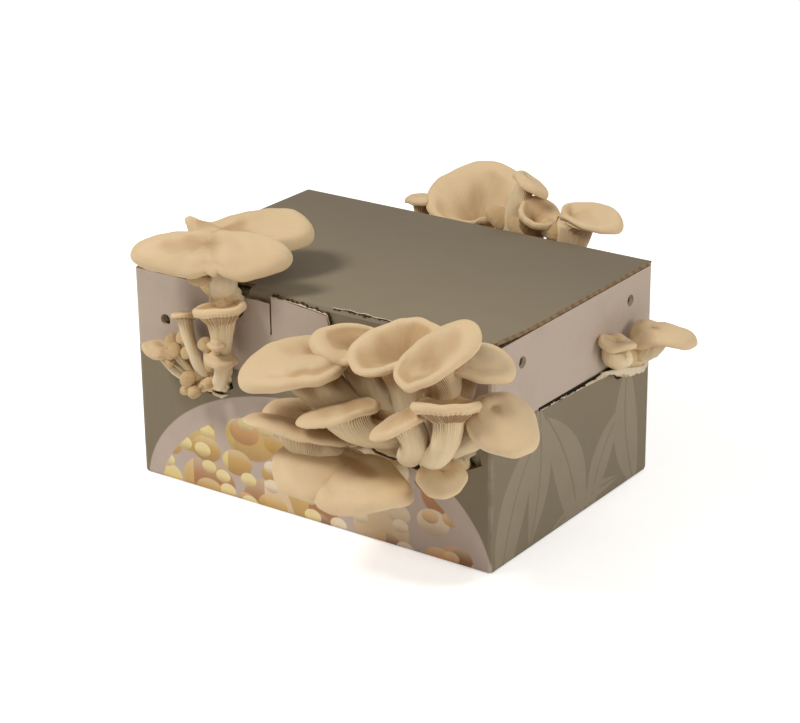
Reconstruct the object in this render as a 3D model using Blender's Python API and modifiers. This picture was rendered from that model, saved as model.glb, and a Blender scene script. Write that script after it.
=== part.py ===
"""Oyster mushroom grow kit: a folded carton round a block of grown-through substrate.

Clusters of oyster mushrooms grow out of torn openings in the carton's walls and lid.
The origin is the middle of the carton's bottom, +X runs right along the long front wall,
-Y faces the front and +Z points up. Driving dimensions are in millimetres and degrees.
"""

import math

import bmesh
import bpy
import numpy as np
from mathutils import Matrix
from mathutils.bvhtree import BVHTree

MM = 0.001

# The carton, folded from one blank of corrugated board
LENGTH = 280
DEPTH = 192
HEIGHT = 150
BOARD = 3
GAP = 0.3
GROWTH_GAP = 0.5
CORNER_RADIUS = 2.5
WALL_TOP = HEIGHT - BOARD - GAP
LID_BOARD = 2.7
LID_LIFT = 3
LIFT_START_X = 90
LIFT_START_Y = -40
LID_FRONT = -92.7
HOLE_RADIUS = 4
HOLE_SIDES = 12
FRONT_HOLES = ((-115, 115), (115, 115))
SIDE_HOLES = ((-62, 130), (68, 130))
FRONT_SLIT_X = -27
FRONT_SLIT_BOTTOM = 123
FRONT_SLIT_WIDTH = 1.2
BEYOND = 8

# The lid: stations across it, then its path from the back crease to the tuck flap's edge as
# (y, z, share of the full width)
LID_ACROSS = (-140, -60, 20, 62, 90, 107, 124, 140)
LID_PATH = ((95.85, 141, 0.96), (95.85, 146.8, 0.99), (94.8, 149.2, 1), (92.4, 150, 1), (40, 150, 1),
            (-10, 150, 1), (-40, 150, 1), (-62, 150, 1), (-80, 150, 1), (-89, 150, 1),
            (-91.6, 149.1, 1), (-92.7, 146.9, 0.975), (-92.7, 140, 0.97), (-92.7, 112, 0.96))

# The ragged top edge of the front wall from left to right, as (x, z)
FRONT_TOP = ((-145, 146.6), (-96, 146.8), (-82, 145.6), (-50, 143.6), (-38, 144.4), (-27.4, 144),
             (-26.6, 148.6), (-14, 148.2), (-3, 147), (8, 146.2), (17, 145), (19, 138.6), (27, 140.2),
             (36, 138.2), (44, 139.8), (53, 137.8), (62, 140), (70, 139.2), (73, 146.5), (98, 147.4),
             (118, 146.4), (128, 145), (145, 145.4))

# The opening in the top front edge where the lid's cluster comes out
NOTCH = ((-78, 160), (-77.5, 144), (-75, 138), (-76, 133), (-68, 129), (-60, 130.5), (-52, 129.5),
         (-48, 134), (-49, 140), (-46.5, 146), (-46, 160))
NOTCH_BACK = -85

# A torn outline: its corners, its size over the foot's, and its cosines as (share, count)
TORN_POINTS = 20
TORN_SIZE = 1.12
TORN_WAVES = ((0.04, 7), (0.035, 11))

# The torn openings: the foot that fills each, the cut's ends, the axis it runs along, its phase
WINDOWS = (
    ("front_cluster_base", -110, -90, "y", 0.4),
    ("left_cluster_base", -110, -90, "y", 2.1),
    ("back_cluster_base", 90, 110, "y", 3.3),
    ("right_cluster_base", 134, 150, "x", 5.0),
)

# The tear along the right wall, opening towards the back, as (y, z)
SIDE_SLIT = ((-41, 92.2), (-20, 91.6), (8, 90.4), (31, 89.2), (52, 86.5), (88, 85.6), (92.4, 86.6),
             (92.4, 91), (60, 92.4), (31, 91.2), (8, 91.8), (-20, 92.6), (-41, 93))

# The substrate block inside the carton
BLOCK_CLEARANCE = 1.5
BLOCK_FRONT = -88.2
BLOCK_TOP = 143
BLOCK_RADIUS = 8

# Every mushroom's profile: where the top ends and where the stem begins, as shares of its length
TOP_END = 0.40
STEM_START = 0.68
NECK = 0.30
CURL_START = 0.80

# Facets of a mushroom by its size: round it, then down its top, its underside and its stem
FACETS = {"large": (14, 4, 2, 4), "medium": (12, 3, 2, 3), "small": (8, 3, 1, 3), "pin": (7, 2, 1, 2)}
BASE_FACETS = (12, 7)
MOST_STRETCH = 2
MERGE = 0.00001

PLAIN = dict(off=0.4, crown=5, dimple=3, droop=2, roll=45, saddle=(0, 0), waves=(), lobes=(),
             ears=(), thick=5, body=6, bend=(0.35, 0.3), flare=0.7, size="medium")


PIN = dict(off=0.1, crown=3, dimple=0, thick=3, body=2, bend=(0.2, 0.3), size="pin")


def mushroom(name, cap, half, faces, fans, root, grows, stem, **more):
    """One mushroom: the cap's middle, half sizes across and along, where its top faces and fans
    to as (azimuth, elevation), then the stem's root, its direction there and its two radii."""
    own = dict(PLAIN, name=name, cap=cap, half=half, faces=faces, fans=fans)
    own.update(root=root, grows=grows, stem=stem, **more)
    return own


FRONTWARD = (-90, 15)
BACKWARD = (90, 15)
RIGHTWARD = (0, 15)

LID_CLUSTER = (
    mushroom("lid_mushroom_front", (-66, -106, 175), (55, 19), (-98, 82), (-70, 0),
             (-61, -101, 143), (-90, 70), (12, 10), off=0.3, crown=7, droop=2, roll=70, thick=7,
             body=10, waves=((2.5, 7, 20), (2, 3, 100)), lobes=((0.04, 6, 0), (0.03, 9, 30)),
             ears=((-30, 35, 0.05, 6),),
             size="large"),
    mushroom("lid_mushroom_back", (-64, -60, 178), (29, 43), (-100, 84), (40, 0),
             (-67, -97, 145), (-90, 85), (8, 8), off=0.4, crown=4, droop=4, roll=50, thick=7,
             lobes=((0.06, 3, 40),), ears=((-110, 16, 0.25, 12), (125, 38, 0.05, 7)), size="large"),
)

FRONT_CLUSTER = (
    mushroom("front_mushroom_01", (24, -137, 125), (26, 36), (-84, 74), (-150, 0),
             (66, -102, 84), FRONTWARD, (10, 9), crown=12, droop=-4, roll=70, body=16, flare=0.9,
             lobes=((0.06, 4, 20),), size="large"),
    mushroom("front_mushroom_02", (53, -120, 145), (18, 25), (-64, 72), (-150, 0),
             (78, -100, 92), FRONTWARD, (9, 8), crown=-3, saddle=(5, 30), body=12, flare=0.9),
    mushroom("front_mushroom_03", (90, -128, 154), (21, 33), (-109, 55), (-160, 0),
             (92, -102, 92), FRONTWARD, (9, 9), crown=-9, off=0.2, roll=35, body=10, flare=0.9,
             size="large"),
    mushroom("front_mushroom_04", (130, -141, 160), (21, 29), (-114, 50), (35, 30),
             (108, -102, 92), FRONTWARD, (8, 8), crown=-5, off=0.2, roll=40, size="large"),
    mushroom("front_mushroom_05", (146, -117, 150), (17, 21), (-20, 78), (20, 0),
             (122, -102, 90), FRONTWARD, (8, 8), crown=6, body=8, flare=0.9),
    mushroom("front_mushroom_06", (140, -144, 133), (22, 18), (123, 76), (-60, 0),
             (109, -108, 76), FRONTWARD, (9, 9), crown=-6, off=0.1, body=12, flare=0.8),
    mushroom("front_mushroom_07", (168, -125, 118), (23, 22), (-33, 55), (-10, -30),
             (119, -107, 83), FRONTWARD, (7, 8), crown=6, off=0.5, roll=60, size="large"),
    mushroom("front_mushroom_08", (60, -144, 106), (17, 26), (179, 74), (-150, 0),
             (82, -104, 84), FRONTWARD, (8, 8), body=8, flare=0.9),
    mushroom("front_mushroom_09", (14, -128, 90), (15, 19), (-10, 80), (-150, 0),
             (46, -100, 72), FRONTWARD, (6, 6)),
    mushroom("front_mushroom_10", (112, -152, 115), (15, 20), (-162, 63), (-150, -20),
             (93, -108, 76), FRONTWARD, (9, 8), body=10, flare=0.9, roll=30),
    mushroom("front_mushroom_11", (29, -144, 88), (18, 34), (54, 75), (-150, 0),
             (55, -112, 60), FRONTWARD, (9, 9), body=9, flare=0.9, size="large"),
    mushroom("front_mushroom_12", (63, -143, 64), (48, 25), (-40, 78), (-80, -10),
             (80, -102, 56), FRONTWARD, (9, 9), off=0.5, saddle=(5, 0), thick=6, body=7,
             waves=((2, 5, 0),), size="large"),
    mushroom("front_mushroom_13", (127, -130, 75), (14, 13), (-54, 63), (-60, -10),
             (118, -104, 65), FRONTWARD, (5, 5), off=0.1, body=4, bend=(0.2, 0.3)),
)

LEFT_CLUSTER = (
    mushroom("left_mushroom_01", (-54, -113, 143), (19, 14), (153, 83), (-60, 0),
             (-82, -101, 86), FRONTWARD, (8, 7), crown=-8, off=0.1, body=14, flare=0.9),
    mushroom("left_mushroom_02", (-90, -110, 132), (8, 8), (43, 80), (-120, 0),
             (-90, -100, 84), FRONTWARD, (4, 4), off=0.2, thick=4, body=4, size="small"),
    mushroom("left_mushroom_03", (-112, -108, 99), (9, 11), (-13, 79), (-150, 0),
             (-94, -100, 80), FRONTWARD, (3, 4), thick=4, body=4, size="small"),
    mushroom("left_mushroom_04", (-55, -114, 103), (12, 12), (95, 85), (-60, 0),
             (-66, -101, 82), FRONTWARD, (5, 5), off=0.2, crown=7, thick=4, body=4),
    mushroom("left_mushroom_05", (-54, -122, 122), (7, 7), (99, 86), (-60, 0),
             (-67, -110, 92), FRONTWARD, (3, 3), off=0.2, thick=3, body=2, dimple=1, size="small"),
)

BACK_CLUSTER = (
    mushroom("back_mushroom_01", (-22, 129, 159), (30, 36), (-75, 60), (-150, 0),
             (0, 100, 92), BACKWARD, (10, 10), crown=8, flare=0.9, size="large"),
    mushroom("back_mushroom_02", (33, 119, 180), (13, 15), (41, 60), (10, 0),
             (18, 100, 94), BACKWARD, (9, 9), body=14, flare=0.9),
    mushroom("back_mushroom_03", (44, 112, 163), (15, 15), (-16, 66), (0, 0),
             (34, 100, 86), BACKWARD, (7, 7), crown=-6, flare=0.9),
    mushroom("back_mushroom_04", (80, 117, 168), (17, 21), (-57, 74), (20, 0),
             (50, 100, 92), BACKWARD, (10, 9), body=16, flare=0.9),
    mushroom("back_mushroom_05", (-60, 113, 153), (8, 11), (180, 84), (150, 0),
             (-18, 100, 88), BACKWARD, (4, 6), off=0.3, thick=4, body=3, size="small"),
)

RIGHT_CLUSTER = (
    mushroom("right_mushroom_01", (151, 32, 116), (12, 11), (48, 82), (-60, 0),
             (144, 58, 90), RIGHTWARD, (6, 6), crown=-4, body=10, flare=0.9),
    mushroom("right_mushroom_02", (165, 68, 111), (15, 22), (-40, 80), (35, 0),
             (144, 74, 88), RIGHTWARD, (7, 7), saddle=(4, 30), body=9, flare=0.9),
)

# Pins too small to stand alone, fused to the foot they grow from
PINS = {
    "front_cluster_base": (
        mushroom("front_pin_1", (69, -113, 105), (5, 5), (-110, 43), (-70, -40),
                 (74, -99, 91), (-110, 43), (3, 3), **PIN),
        mushroom("front_pin_2", (60, -113, 93), (5, 6), (-120, 34), (-70, -40),
                 (68, -99, 82), (-120, 34), (3, 4), **PIN),
    ),
    "left_cluster_base": (
        mushroom("left_pin_1", (-100, -108, 107), (4, 5), (-138, 57), (-70, -30),
                 (-90, -99, 86), (-138, 57), (2, 3), **PIN),
        mushroom("left_pin_2", (-96, -107, 72), (4, 4), (-135, -28), (-70, -40),
                 (-88, -99, 78), (-135, -28), (3, 3), **PIN),
    ),
}

# The fused foot of each cluster: its name, middle, half sizes, and where it stops on the inside
BASES = (
    ("lid_cluster_base", (-62, -97, 141), (13, 10, 9), (1, -88.5)),
    ("front_cluster_base", (84, -94, 79), (44, 10, 19), (1, -88.5)),
    ("left_cluster_base", (-80, -94, 83), (18, 8, 11), (1, -88.5)),
    ("back_cluster_base", (16, 97, 89), (44, 8, 12), (1, 91.8)),
    ("right_cluster_base", (141, 66, 88), (8, 18, 9), (0, 135.8)),
)

CLUSTERS = (LID_CLUSTER, FRONT_CLUSTER, LEFT_CLUSTER, BACK_CLUSTER, RIGHT_CLUSTER)


def direction(azimuth, elevation):
    """Unit vector at an azimuth from +X towards +Y and an elevation above the ground."""
    a = math.radians(azimuth)
    e = math.radians(elevation)
    return np.array([math.cos(e) * math.cos(a), math.cos(e) * math.sin(a), math.sin(e)])


def cap_axes(own):
    """The cap's side, outward and upward unit vectors, a right-handed set."""
    up = direction(*own["faces"])
    out = direction(*own["fans"])
    out = out - up * (out @ up)
    out /= np.linalg.norm(out)
    return np.cross(out, up), out, up


def bell(theta, at, width):
    """A smooth bump of height 1 round the cap at an angle, with its half width in degrees."""
    away = (np.degrees(theta) - at + 180) % 360 - 180
    return np.exp(-((away / width) ** 2))


def outline(own, theta):
    """Distance from the stem's axis to the cap's edge: an ellipse seen from a point that lies
    off its middle, towards the back, times cosines for lobes and bells for ears or notches."""
    across, along = own["half"]
    off = own["off"]
    c = np.cos(theta)
    s = np.sin(theta)
    k = (c / across) ** 2 + (s / along) ** 2
    edge = (s * off / along + np.sqrt((s * off / along) ** 2 + k * (1 - off ** 2))) / k
    for share, count, phase in own["lobes"]:
        edge = edge * (1 + share * np.cos(count * (theta - math.radians(phase))))
    for at, width, share, _ in own["ears"]:
        edge = edge * (1 + share * bell(theta, at, width))
    return edge


def cap_middle(own, r, theta):
    """Middle surface of the cap: a crown and a dimple that fade outwards, a drooping edge,
    a saddle, waves, and a margin that curls along an arc."""
    side, out, up = cap_axes(own)
    edge = outline(own, theta)
    curl = math.radians(own["roll"]) or 0.01
    past = np.clip((r - CURL_START) / (1 - CURL_START), 0, 1)
    rolled = (1 - CURL_START) * edge / curl
    reach = np.minimum(r, CURL_START) * edge + rolled * np.sin(past * curl)
    saddle, saddle_at = own["saddle"]
    height = own["crown"] * (1 - r ** 2) - own["dimple"] * np.exp(-((r / 0.35) ** 2))
    height = height - own["droop"] * r ** 4 - rolled * (1 - np.cos(past * curl))
    height = height + saddle * r ** 2 * np.cos(2 * (theta - math.radians(saddle_at)))
    for wave, count, phase in own["waves"]:
        height = height + wave * r ** 3 * np.cos(count * (theta - math.radians(phase)))
    for at, width, _, lift in own["ears"]:
        height = height + lift * r ** 4 * bell(theta, at, width)
    start = np.array(own["cap"], float) - own["off"] * own["half"][1] * out
    flat = np.cos(theta)[..., None] * side + np.sin(theta)[..., None] * out
    return start + reach[..., None] * flat + height[..., None] * up


def cap_skin(own, r, theta, sign):
    """The cap's upper (+1) or under (-1) skin: the middle surface moved along its normal by
    half the thickness, with the flesh under the middle that runs down into the stem."""
    q = np.maximum(r, 0.03)
    step = 0.01
    along = cap_middle(own, q + step, theta) - cap_middle(own, q - step, theta)
    around = cap_middle(own, q, theta + step) - cap_middle(own, q, theta - step)
    normal = np.cross(along, around)
    normal /= np.linalg.norm(normal, axis=-1, keepdims=True)
    up = cap_axes(own)[2]
    normal = up + (normal - up) * (r / q)[..., None]
    half = own["thick"] / 2 * np.sqrt(np.maximum(1 - r ** 8, 0))
    if sign < 0:
        half = half + own["body"] * (1 - r) ** 2
    return cap_middle(own, r, theta) + sign * half[..., None] * normal


def stem_skin(own, w, theta):
    """The stem: a ring that turns with a cubic path from the cap's underside to the root, and
    starts as the cap's neck, which fades into it down the flared part."""
    side, out, up = cap_axes(own)
    neck = np.full_like(theta, NECK)
    sunk = own["crown"] * (1 - NECK ** 2) - own["dimple"] * math.exp(-((NECK / 0.35) ** 2))
    sunk -= own["thick"] / 2 + own["body"] * (1 - NECK) ** 2
    p0 = np.array(own["cap"], float) - own["off"] * own["half"][1] * out + sunk * up
    p3 = np.array(own["root"], float)
    span = np.linalg.norm(p3 - p0)
    p1 = p0 - own["bend"][0] * span * up
    p2 = p3 + own["bend"][1] * span * direction(*own["grows"])
    t = w[..., None]
    path = (1 - t) ** 3 * p0 + 3 * (1 - t) ** 2 * t * p1 + 3 * (1 - t) * t ** 2 * p2 + t ** 3 * p3
    run = (1 - t) ** 2 * (p1 - p0) + 2 * (1 - t) * t * (p2 - p1) + t ** 2 * (p3 - p2)
    run /= np.linalg.norm(run, axis=-1, keepdims=True)
    flat = np.cos(theta)[..., None] * side + np.sin(theta)[..., None] * out
    axis = np.cross(np.broadcast_to(-up, run.shape), run)
    turned = flat + np.cross(axis, flat)
    turned += np.cross(axis, np.cross(axis, flat)) / (1 + run @ -up)[..., None]
    top, root = own["stem"]
    radius = (top + (root - top) * w) * np.sqrt(np.maximum(1 - w ** 10, 0))
    fade = np.maximum(1 - w / own["flare"], 0) ** 1.8
    ring = cap_skin(own, neck, theta, -1) - p0 - top * flat
    return path + radius[..., None] * turned + fade[..., None] * ring


def mushroom_skin(own, v, theta):
    """A point of the whole skin: v runs from the cap's middle (0) over its edge to the root (1)
    and theta runs round it."""
    top_r = np.sin(math.pi / 2 * np.clip(v / TOP_END, 0, 1))
    back = np.clip((v - TOP_END) / (STEM_START - TOP_END), 0, 1)
    under_r = NECK + (1 - NECK) * np.cos(math.pi / 2 * back)
    w = np.clip((v - STEM_START) / (1 - STEM_START), 0, 1)
    top = cap_skin(own, top_r, theta, 1)
    under = cap_skin(own, under_r, theta, -1)
    stem = stem_skin(own, w, theta)
    on_top = (v <= TOP_END)[..., None]
    on_stem = (v > STEM_START)[..., None]
    return np.where(on_top, top, np.where(on_stem, stem, under))


def base_skin(middle, half, along):
    """A lumpy foot: an ellipsoid whose radius swells and shrinks with the direction from its
    middle; along holds unit vectors."""
    x, y, z = along[..., 0], along[..., 1], along[..., 2]
    lumps = 0.05 * np.sin(5 * x + 1) * np.cos(4 * z) + 0.04 * np.sin(7 * z + 3 * y)
    return np.array(middle, float) + along * np.array(half, float) * (1 + lumps)[..., None]


def stations(counts):
    """Places down a mushroom's profile for its rows of facets on top, underneath and on the stem."""
    top = np.linspace(0, TOP_END, counts[0] + 1)
    under = np.linspace(TOP_END, STEM_START, counts[1] + 1)[1:]
    stem = np.sin(math.pi / 2 * np.linspace(0, 1, counts[2] + 1)[1:])
    return np.concatenate([top, under, STEM_START + (1 - STEM_START) * stem])


def placed(bm, name, collection, smooth=False):
    """Makes an object of a bmesh in millimetres, with its faces outward."""
    if bm.calc_volume(signed=True) < 0:
        bmesh.ops.reverse_faces(bm, faces=bm.faces)
    bmesh.ops.scale(bm, vec=(MM, MM, MM), verts=bm.verts)
    for face in bm.faces:
        face.smooth = smooth
    mesh = bpy.data.meshes.new(name)
    bm.to_mesh(mesh)
    bm.free()
    obj = bpy.data.objects.new(name, mesh)
    collection.objects.link(obj)
    if collection.hide_render:
        obj.hide_render = True
        obj.display_type = "WIRE"
    return obj


def box(name, low, high, collection, edges=None, radius=0, steps=2):
    """A block between two corners; edges picks those that are rounded."""
    bm = bmesh.new()
    bmesh.ops.create_cube(bm, size=1)
    middle = [(a + b) / 2 for a, b in zip(low, high)]
    size = [b - a for a, b in zip(low, high)]
    bmesh.ops.scale(bm, vec=size, verts=bm.verts)
    bmesh.ops.translate(bm, vec=middle, verts=bm.verts)
    if edges:
        chosen = [edge for edge in bm.edges if edges(edge)]
        bmesh.ops.bevel(bm, geom=chosen, offset=radius, segments=steps, profile=0.5, affect="EDGES")
    return placed(bm, name, collection)


def plate(name, outline_points, low, high, axis, collection):
    """A flat shape with a drawn outline, thick from low to high along the x or the y axis."""
    curve = bpy.data.curves.new(name, "CURVE")
    curve.dimensions = "2D"
    curve.fill_mode = "BOTH"
    curve.extrude = (high - low) / 2 * MM
    spline = curve.splines.new("POLY")
    spline.points.add(len(outline_points) - 1)
    for point, (u, v) in zip(spline.points, outline_points):
        point.co = (u * MM, v * MM, 0, 1)
    spline.use_cyclic_u = True
    guide = bpy.data.objects.new(name + "_outline", curve)
    middle = (low + high) / 2 * MM
    if axis == "y":
        guide.rotation_euler = (math.pi / 2, 0, 0)
        guide.location = (0, middle, 0)
    else:
        guide.rotation_euler = (math.pi / 2, 0, math.pi / 2)
        guide.location = (middle, 0, 0)
    collection.objects.link(guide)
    bpy.context.view_layer.update()
    graph = bpy.context.evaluated_depsgraph_get()
    mesh = bpy.data.meshes.new_from_object(guide.evaluated_get(graph))
    mesh.transform(guide.matrix_world)
    bpy.data.objects.remove(guide)
    bm = bmesh.new()
    bm.from_mesh(mesh)
    bpy.data.meshes.remove(mesh)
    bmesh.ops.remove_doubles(bm, verts=bm.verts, dist=MERGE)
    bmesh.ops.recalc_face_normals(bm, faces=bm.faces)
    bmesh.ops.scale(bm, vec=(1 / MM, 1 / MM, 1 / MM), verts=bm.verts)
    return placed(bm, name, collection)


def settle(obj):
    """Turns an object's modifiers into its own mesh."""
    bpy.context.view_layer.update()
    graph = bpy.context.evaluated_depsgraph_get()
    mesh = bpy.data.meshes.new_from_object(obj.evaluated_get(graph))
    obj.modifiers.clear()
    obj.data = mesh


def combine(obj, other, operation):
    """A Boolean of two objects, kept in the first."""
    modifier = obj.modifiers.new("boolean", "BOOLEAN")
    modifier.solver = "EXACT"
    modifier.operation = operation
    modifier.object = other
    settle(obj)


def grown(obj, by, collection):
    """A copy of an object whose skin lies further out everywhere, for cutting a gap."""
    bm = bmesh.new()
    bm.from_mesh(obj.data)
    bm.normal_update()
    moves = [vert.normal * (by * MM * min(vert.calc_shell_factor(), MOST_STRETCH)) for vert in bm.verts]
    for vert, move in zip(bm.verts, moves):
        vert.co += move
    bmesh.ops.scale(bm, vec=(1 / MM, 1 / MM, 1 / MM), verts=bm.verts)
    return placed(bm, obj.name + "_room", collection)


def tree(obj):
    """The search tree of an object's faces."""
    bm = bmesh.new()
    bm.from_mesh(obj.data)
    found = BVHTree.FromBMesh(bm)
    bm.free()
    return found


def keep_largest(obj):
    """Drops the crumbs that a cut leaves beside the main piece."""
    bm = bmesh.new()
    bm.from_mesh(obj.data)
    left = set(bm.verts)
    islands = []
    while left:
        start = left.pop()
        island = {start}
        front = [start]
        while front:
            vert = front.pop()
            for edge in vert.link_edges:
                other = edge.other_vert(vert)
                if other in left:
                    left.remove(other)
                    island.add(other)
                    front.append(other)
        islands.append(island)
    islands.sort(key=len)
    crumbs = [vert for island in islands[:-1] for vert in island]
    if crumbs:
        bmesh.ops.delete(bm, geom=crumbs, context="VERTS")
        bm.to_mesh(obj.data)
    bm.free()


def build_mushroom(own, collection):
    """A mushroom from a sphere: each vertex's latitude and longitude go to a place on its skin."""
    columns, *counts = FACETS[own["size"]]
    down = stations(counts)
    bm = bmesh.new()
    bmesh.ops.create_uvsphere(bm, u_segments=columns, v_segments=len(down) - 1, radius=1)
    verts = np.array([vert.co[:] for vert in bm.verts])
    row = np.rint(np.arccos(np.clip(verts[:, 2], -1, 1)) / math.pi * (len(down) - 1))
    skin = mushroom_skin(own, down[row.astype(int)], np.arctan2(verts[:, 1], verts[:, 0]))
    for vert, point in zip(bm.verts, skin):
        vert.co = point
    return placed(bm, own["name"], collection, smooth=True)


def build_base(name, middle, half, stop, collection):
    """A cluster's foot, flat where it meets the substrate."""
    bm = bmesh.new()
    bmesh.ops.create_uvsphere(bm, u_segments=BASE_FACETS[0], v_segments=BASE_FACETS[1], radius=1)
    along = np.array([vert.co[:] for vert in bm.verts])
    skin = base_skin(middle, half, along)
    axis, limit = stop
    if middle[axis] > limit:
        skin[:, axis] = np.maximum(skin[:, axis], limit)
    else:
        skin[:, axis] = np.minimum(skin[:, axis], limit)
    for vert, point in zip(bm.verts, skin):
        vert.co = point
    return placed(bm, name, collection, smooth=True)


def torn(middle, half, phase):
    """The ragged outline of an opening: an ellipse whose radius jumps with a few cosines."""
    points = []
    for k in range(TORN_POINTS):
        a = 2 * math.pi * k / TORN_POINTS
        share = TORN_SIZE + sum(part * math.cos(count * (a + phase)) for part, count in TORN_WAVES)
        across = middle[0] + half[0] * share * math.cos(a)
        points.append((across, middle[1] + half[1] * share * math.sin(a)))
    return points


def build_lid(collection):
    """The lid and its tuck flap: one sheet bent along a path, with one corner standing up."""
    bm = bmesh.new()
    bmesh.ops.create_grid(bm, x_segments=len(LID_ACROSS) - 1, y_segments=len(LID_PATH) - 1, size=1)
    path = np.array(LID_PATH)
    for vert in bm.verts:
        i = round((vert.co.x + 1) / 2 * (len(LID_ACROSS) - 1))
        j = round((vert.co.y + 1) / 2 * (len(LID_PATH) - 1))
        y, z, share = path[j]
        x = LID_ACROSS[i] * share
        rise = max(0, (x - LIFT_START_X) / (LENGTH / 2 - LIFT_START_X))
        rise *= max(0, (y - LIFT_START_Y) / (LID_FRONT - LIFT_START_Y))
        vert.co = (x, y, z + LID_LIFT * rise ** 2)
    bmesh.ops.reverse_faces(bm, faces=bm.faces)
    bmesh.ops.scale(bm, vec=(MM, MM, MM), verts=bm.verts)
    mesh = bpy.data.meshes.new("lid")
    bm.to_mesh(mesh)
    bm.free()
    obj = bpy.data.objects.new("lid", mesh)
    collection.objects.link(obj)
    solid = obj.modifiers.new("board", "SOLIDIFY")
    solid.thickness = LID_BOARD * MM
    solid.offset = -1
    solid.use_even_offset = True
    settle(obj)
    obj.hide_render = True
    obj.display_type = "WIRE"
    return obj


def hole(at, axis, helpers):
    """A round vent hole's cutter through one wall."""
    bm = bmesh.new()
    bmesh.ops.create_cone(bm, cap_ends=True, segments=HOLE_SIDES, radius1=HOLE_RADIUS,
                          radius2=HOLE_RADIUS, depth=BOARD + BEYOND)
    turn = Matrix.Rotation(math.pi / 2, 3, "X" if axis == "y" else "Y")
    bmesh.ops.rotate(bm, cent=(0, 0, 0), matrix=turn, verts=bm.verts)
    bmesh.ops.translate(bm, vec=at, verts=bm.verts)
    return placed(bm, "vent", helpers)


def build_carton(parts, helpers):
    """The tray of walls and bottom with its openings, joined to the lid along the back edge."""
    carton = box("carton", (-LENGTH / 2, -DEPTH / 2, 0), (LENGTH / 2, DEPTH / 2, HEIGHT - 1), parts,
                 edges=outer_edge, radius=CORNER_RADIUS)
    x = LENGTH / 2 - BOARD
    y = DEPTH / 2 - BOARD
    combine(carton, box("cavity", (-x, -y, BOARD), (x, y, HEIGHT + BEYOND), helpers), "DIFFERENCE")
    sides = box("side_tops", (-LENGTH, -y + 0.1, WALL_TOP), (LENGTH, DEPTH, HEIGHT + BEYOND), helpers)
    combine(carton, sides, "DIFFERENCE")
    outside = -DEPTH / 2 - BEYOND
    above = [*FRONT_TOP, (LENGTH / 2 + 5, HEIGHT + BEYOND), (-LENGTH / 2 - 5, HEIGHT + BEYOND)]
    combine(carton, plate("front_top", above, outside, -y + 0.5, "y", helpers), "DIFFERENCE")
    combine(carton, build_lid(helpers), "UNION")
    notch = plate("notch", NOTCH, outside, NOTCH_BACK, "y", helpers)
    combine(carton, notch, "DIFFERENCE")
    bases = {name: (middle, half) for name, middle, half, _ in BASES}
    for name, low, high, axis, phase in WINDOWS:
        middle, half = bases[name]
        across = 0 if axis == "y" else 1
        edge = torn((middle[across], middle[2]), (half[across], half[2]), phase)
        combine(carton, plate(name + "_window", edge, low, high, axis, helpers), "DIFFERENCE")
    slit = plate("side_slit", SIDE_SLIT, x - BEYOND, x + BEYOND, "x", helpers)
    combine(carton, slit, "DIFFERENCE")
    slit = box("front_slit", (FRONT_SLIT_X - FRONT_SLIT_WIDTH / 2, outside, FRONT_SLIT_BOTTOM),
               (FRONT_SLIT_X + FRONT_SLIT_WIDTH / 2, -y + GAP / 2, HEIGHT + BEYOND), helpers)
    combine(carton, slit, "DIFFERENCE")
    for u, z in FRONT_HOLES:
        for face in (-1, 1):
            combine(carton, hole((u, face * (y + BOARD / 2), z), "y", helpers), "DIFFERENCE")
    for v, z in SIDE_HOLES:
        for face in (-1, 1):
            combine(carton, hole((face * (x + BOARD / 2), v, z), "x", helpers), "DIFFERENCE")
    keep_largest(carton)
    return carton


def outer_edge(edge):
    """True for the upright edges of a cube and those round its bottom."""
    a, b = edge.verts
    upright = abs(a.co.z - b.co.z) > 1
    return upright or max(a.co.z, b.co.z) < 1


def any_edge(edge):
    """True for every edge."""
    return True


def build_clusters(parts, helpers):
    """Feet, then mushrooms, each cut clear of what comes before it by a thin gap."""
    cutters = []
    made = []
    for name, middle, half, stop in BASES:
        base = build_base(name, middle, half, stop, parts)
        for own in PINS.get(name, ()):
            combine(base, build_mushroom(own, helpers), "UNION")
        keep_largest(base)
        made.append(base)
        cutters.append(grown(base, GROWTH_GAP, helpers))
    hull = box("carton_room", (-LENGTH / 2 - GAP, -DEPTH / 2 - GAP, -GAP),
               (LENGTH / 2 + GAP, DEPTH / 2 + GAP, HEIGHT + GAP), helpers)
    lid_room = box("lid_room", (-LENGTH / 2 - GAP, NOTCH_BACK - GAP, -GAP),
                   (LENGTH / 2 + GAP, DEPTH / 2 + GAP, HEIGHT + GAP), helpers)
    for cluster in CLUSTERS:
        for own in cluster:
            stalk = build_mushroom(own, parts)
            room = grown(stalk, GROWTH_GAP, helpers)
            for cutter in (lid_room if cluster is LID_CLUSTER else hull, *cutters):
                if tree(stalk).overlap(tree(cutter)):
                    combine(stalk, cutter, "DIFFERENCE")
            keep_largest(stalk)
            made.append(stalk)
            cutters.append(room)
    return made


def paint(objects, name, color, roughness):
    """Gives objects a material of one colour."""
    material = bpy.data.materials.new(name)
    material.use_nodes = True
    shader = material.node_tree.nodes["Principled BSDF"]
    shader.inputs["Base Color"].default_value = (*color, 1)
    shader.inputs["Roughness"].default_value = roughness
    material.diffuse_color = (*color, 1)
    for obj in objects:
        obj.data.materials.clear()
        obj.data.materials.append(material)


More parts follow.
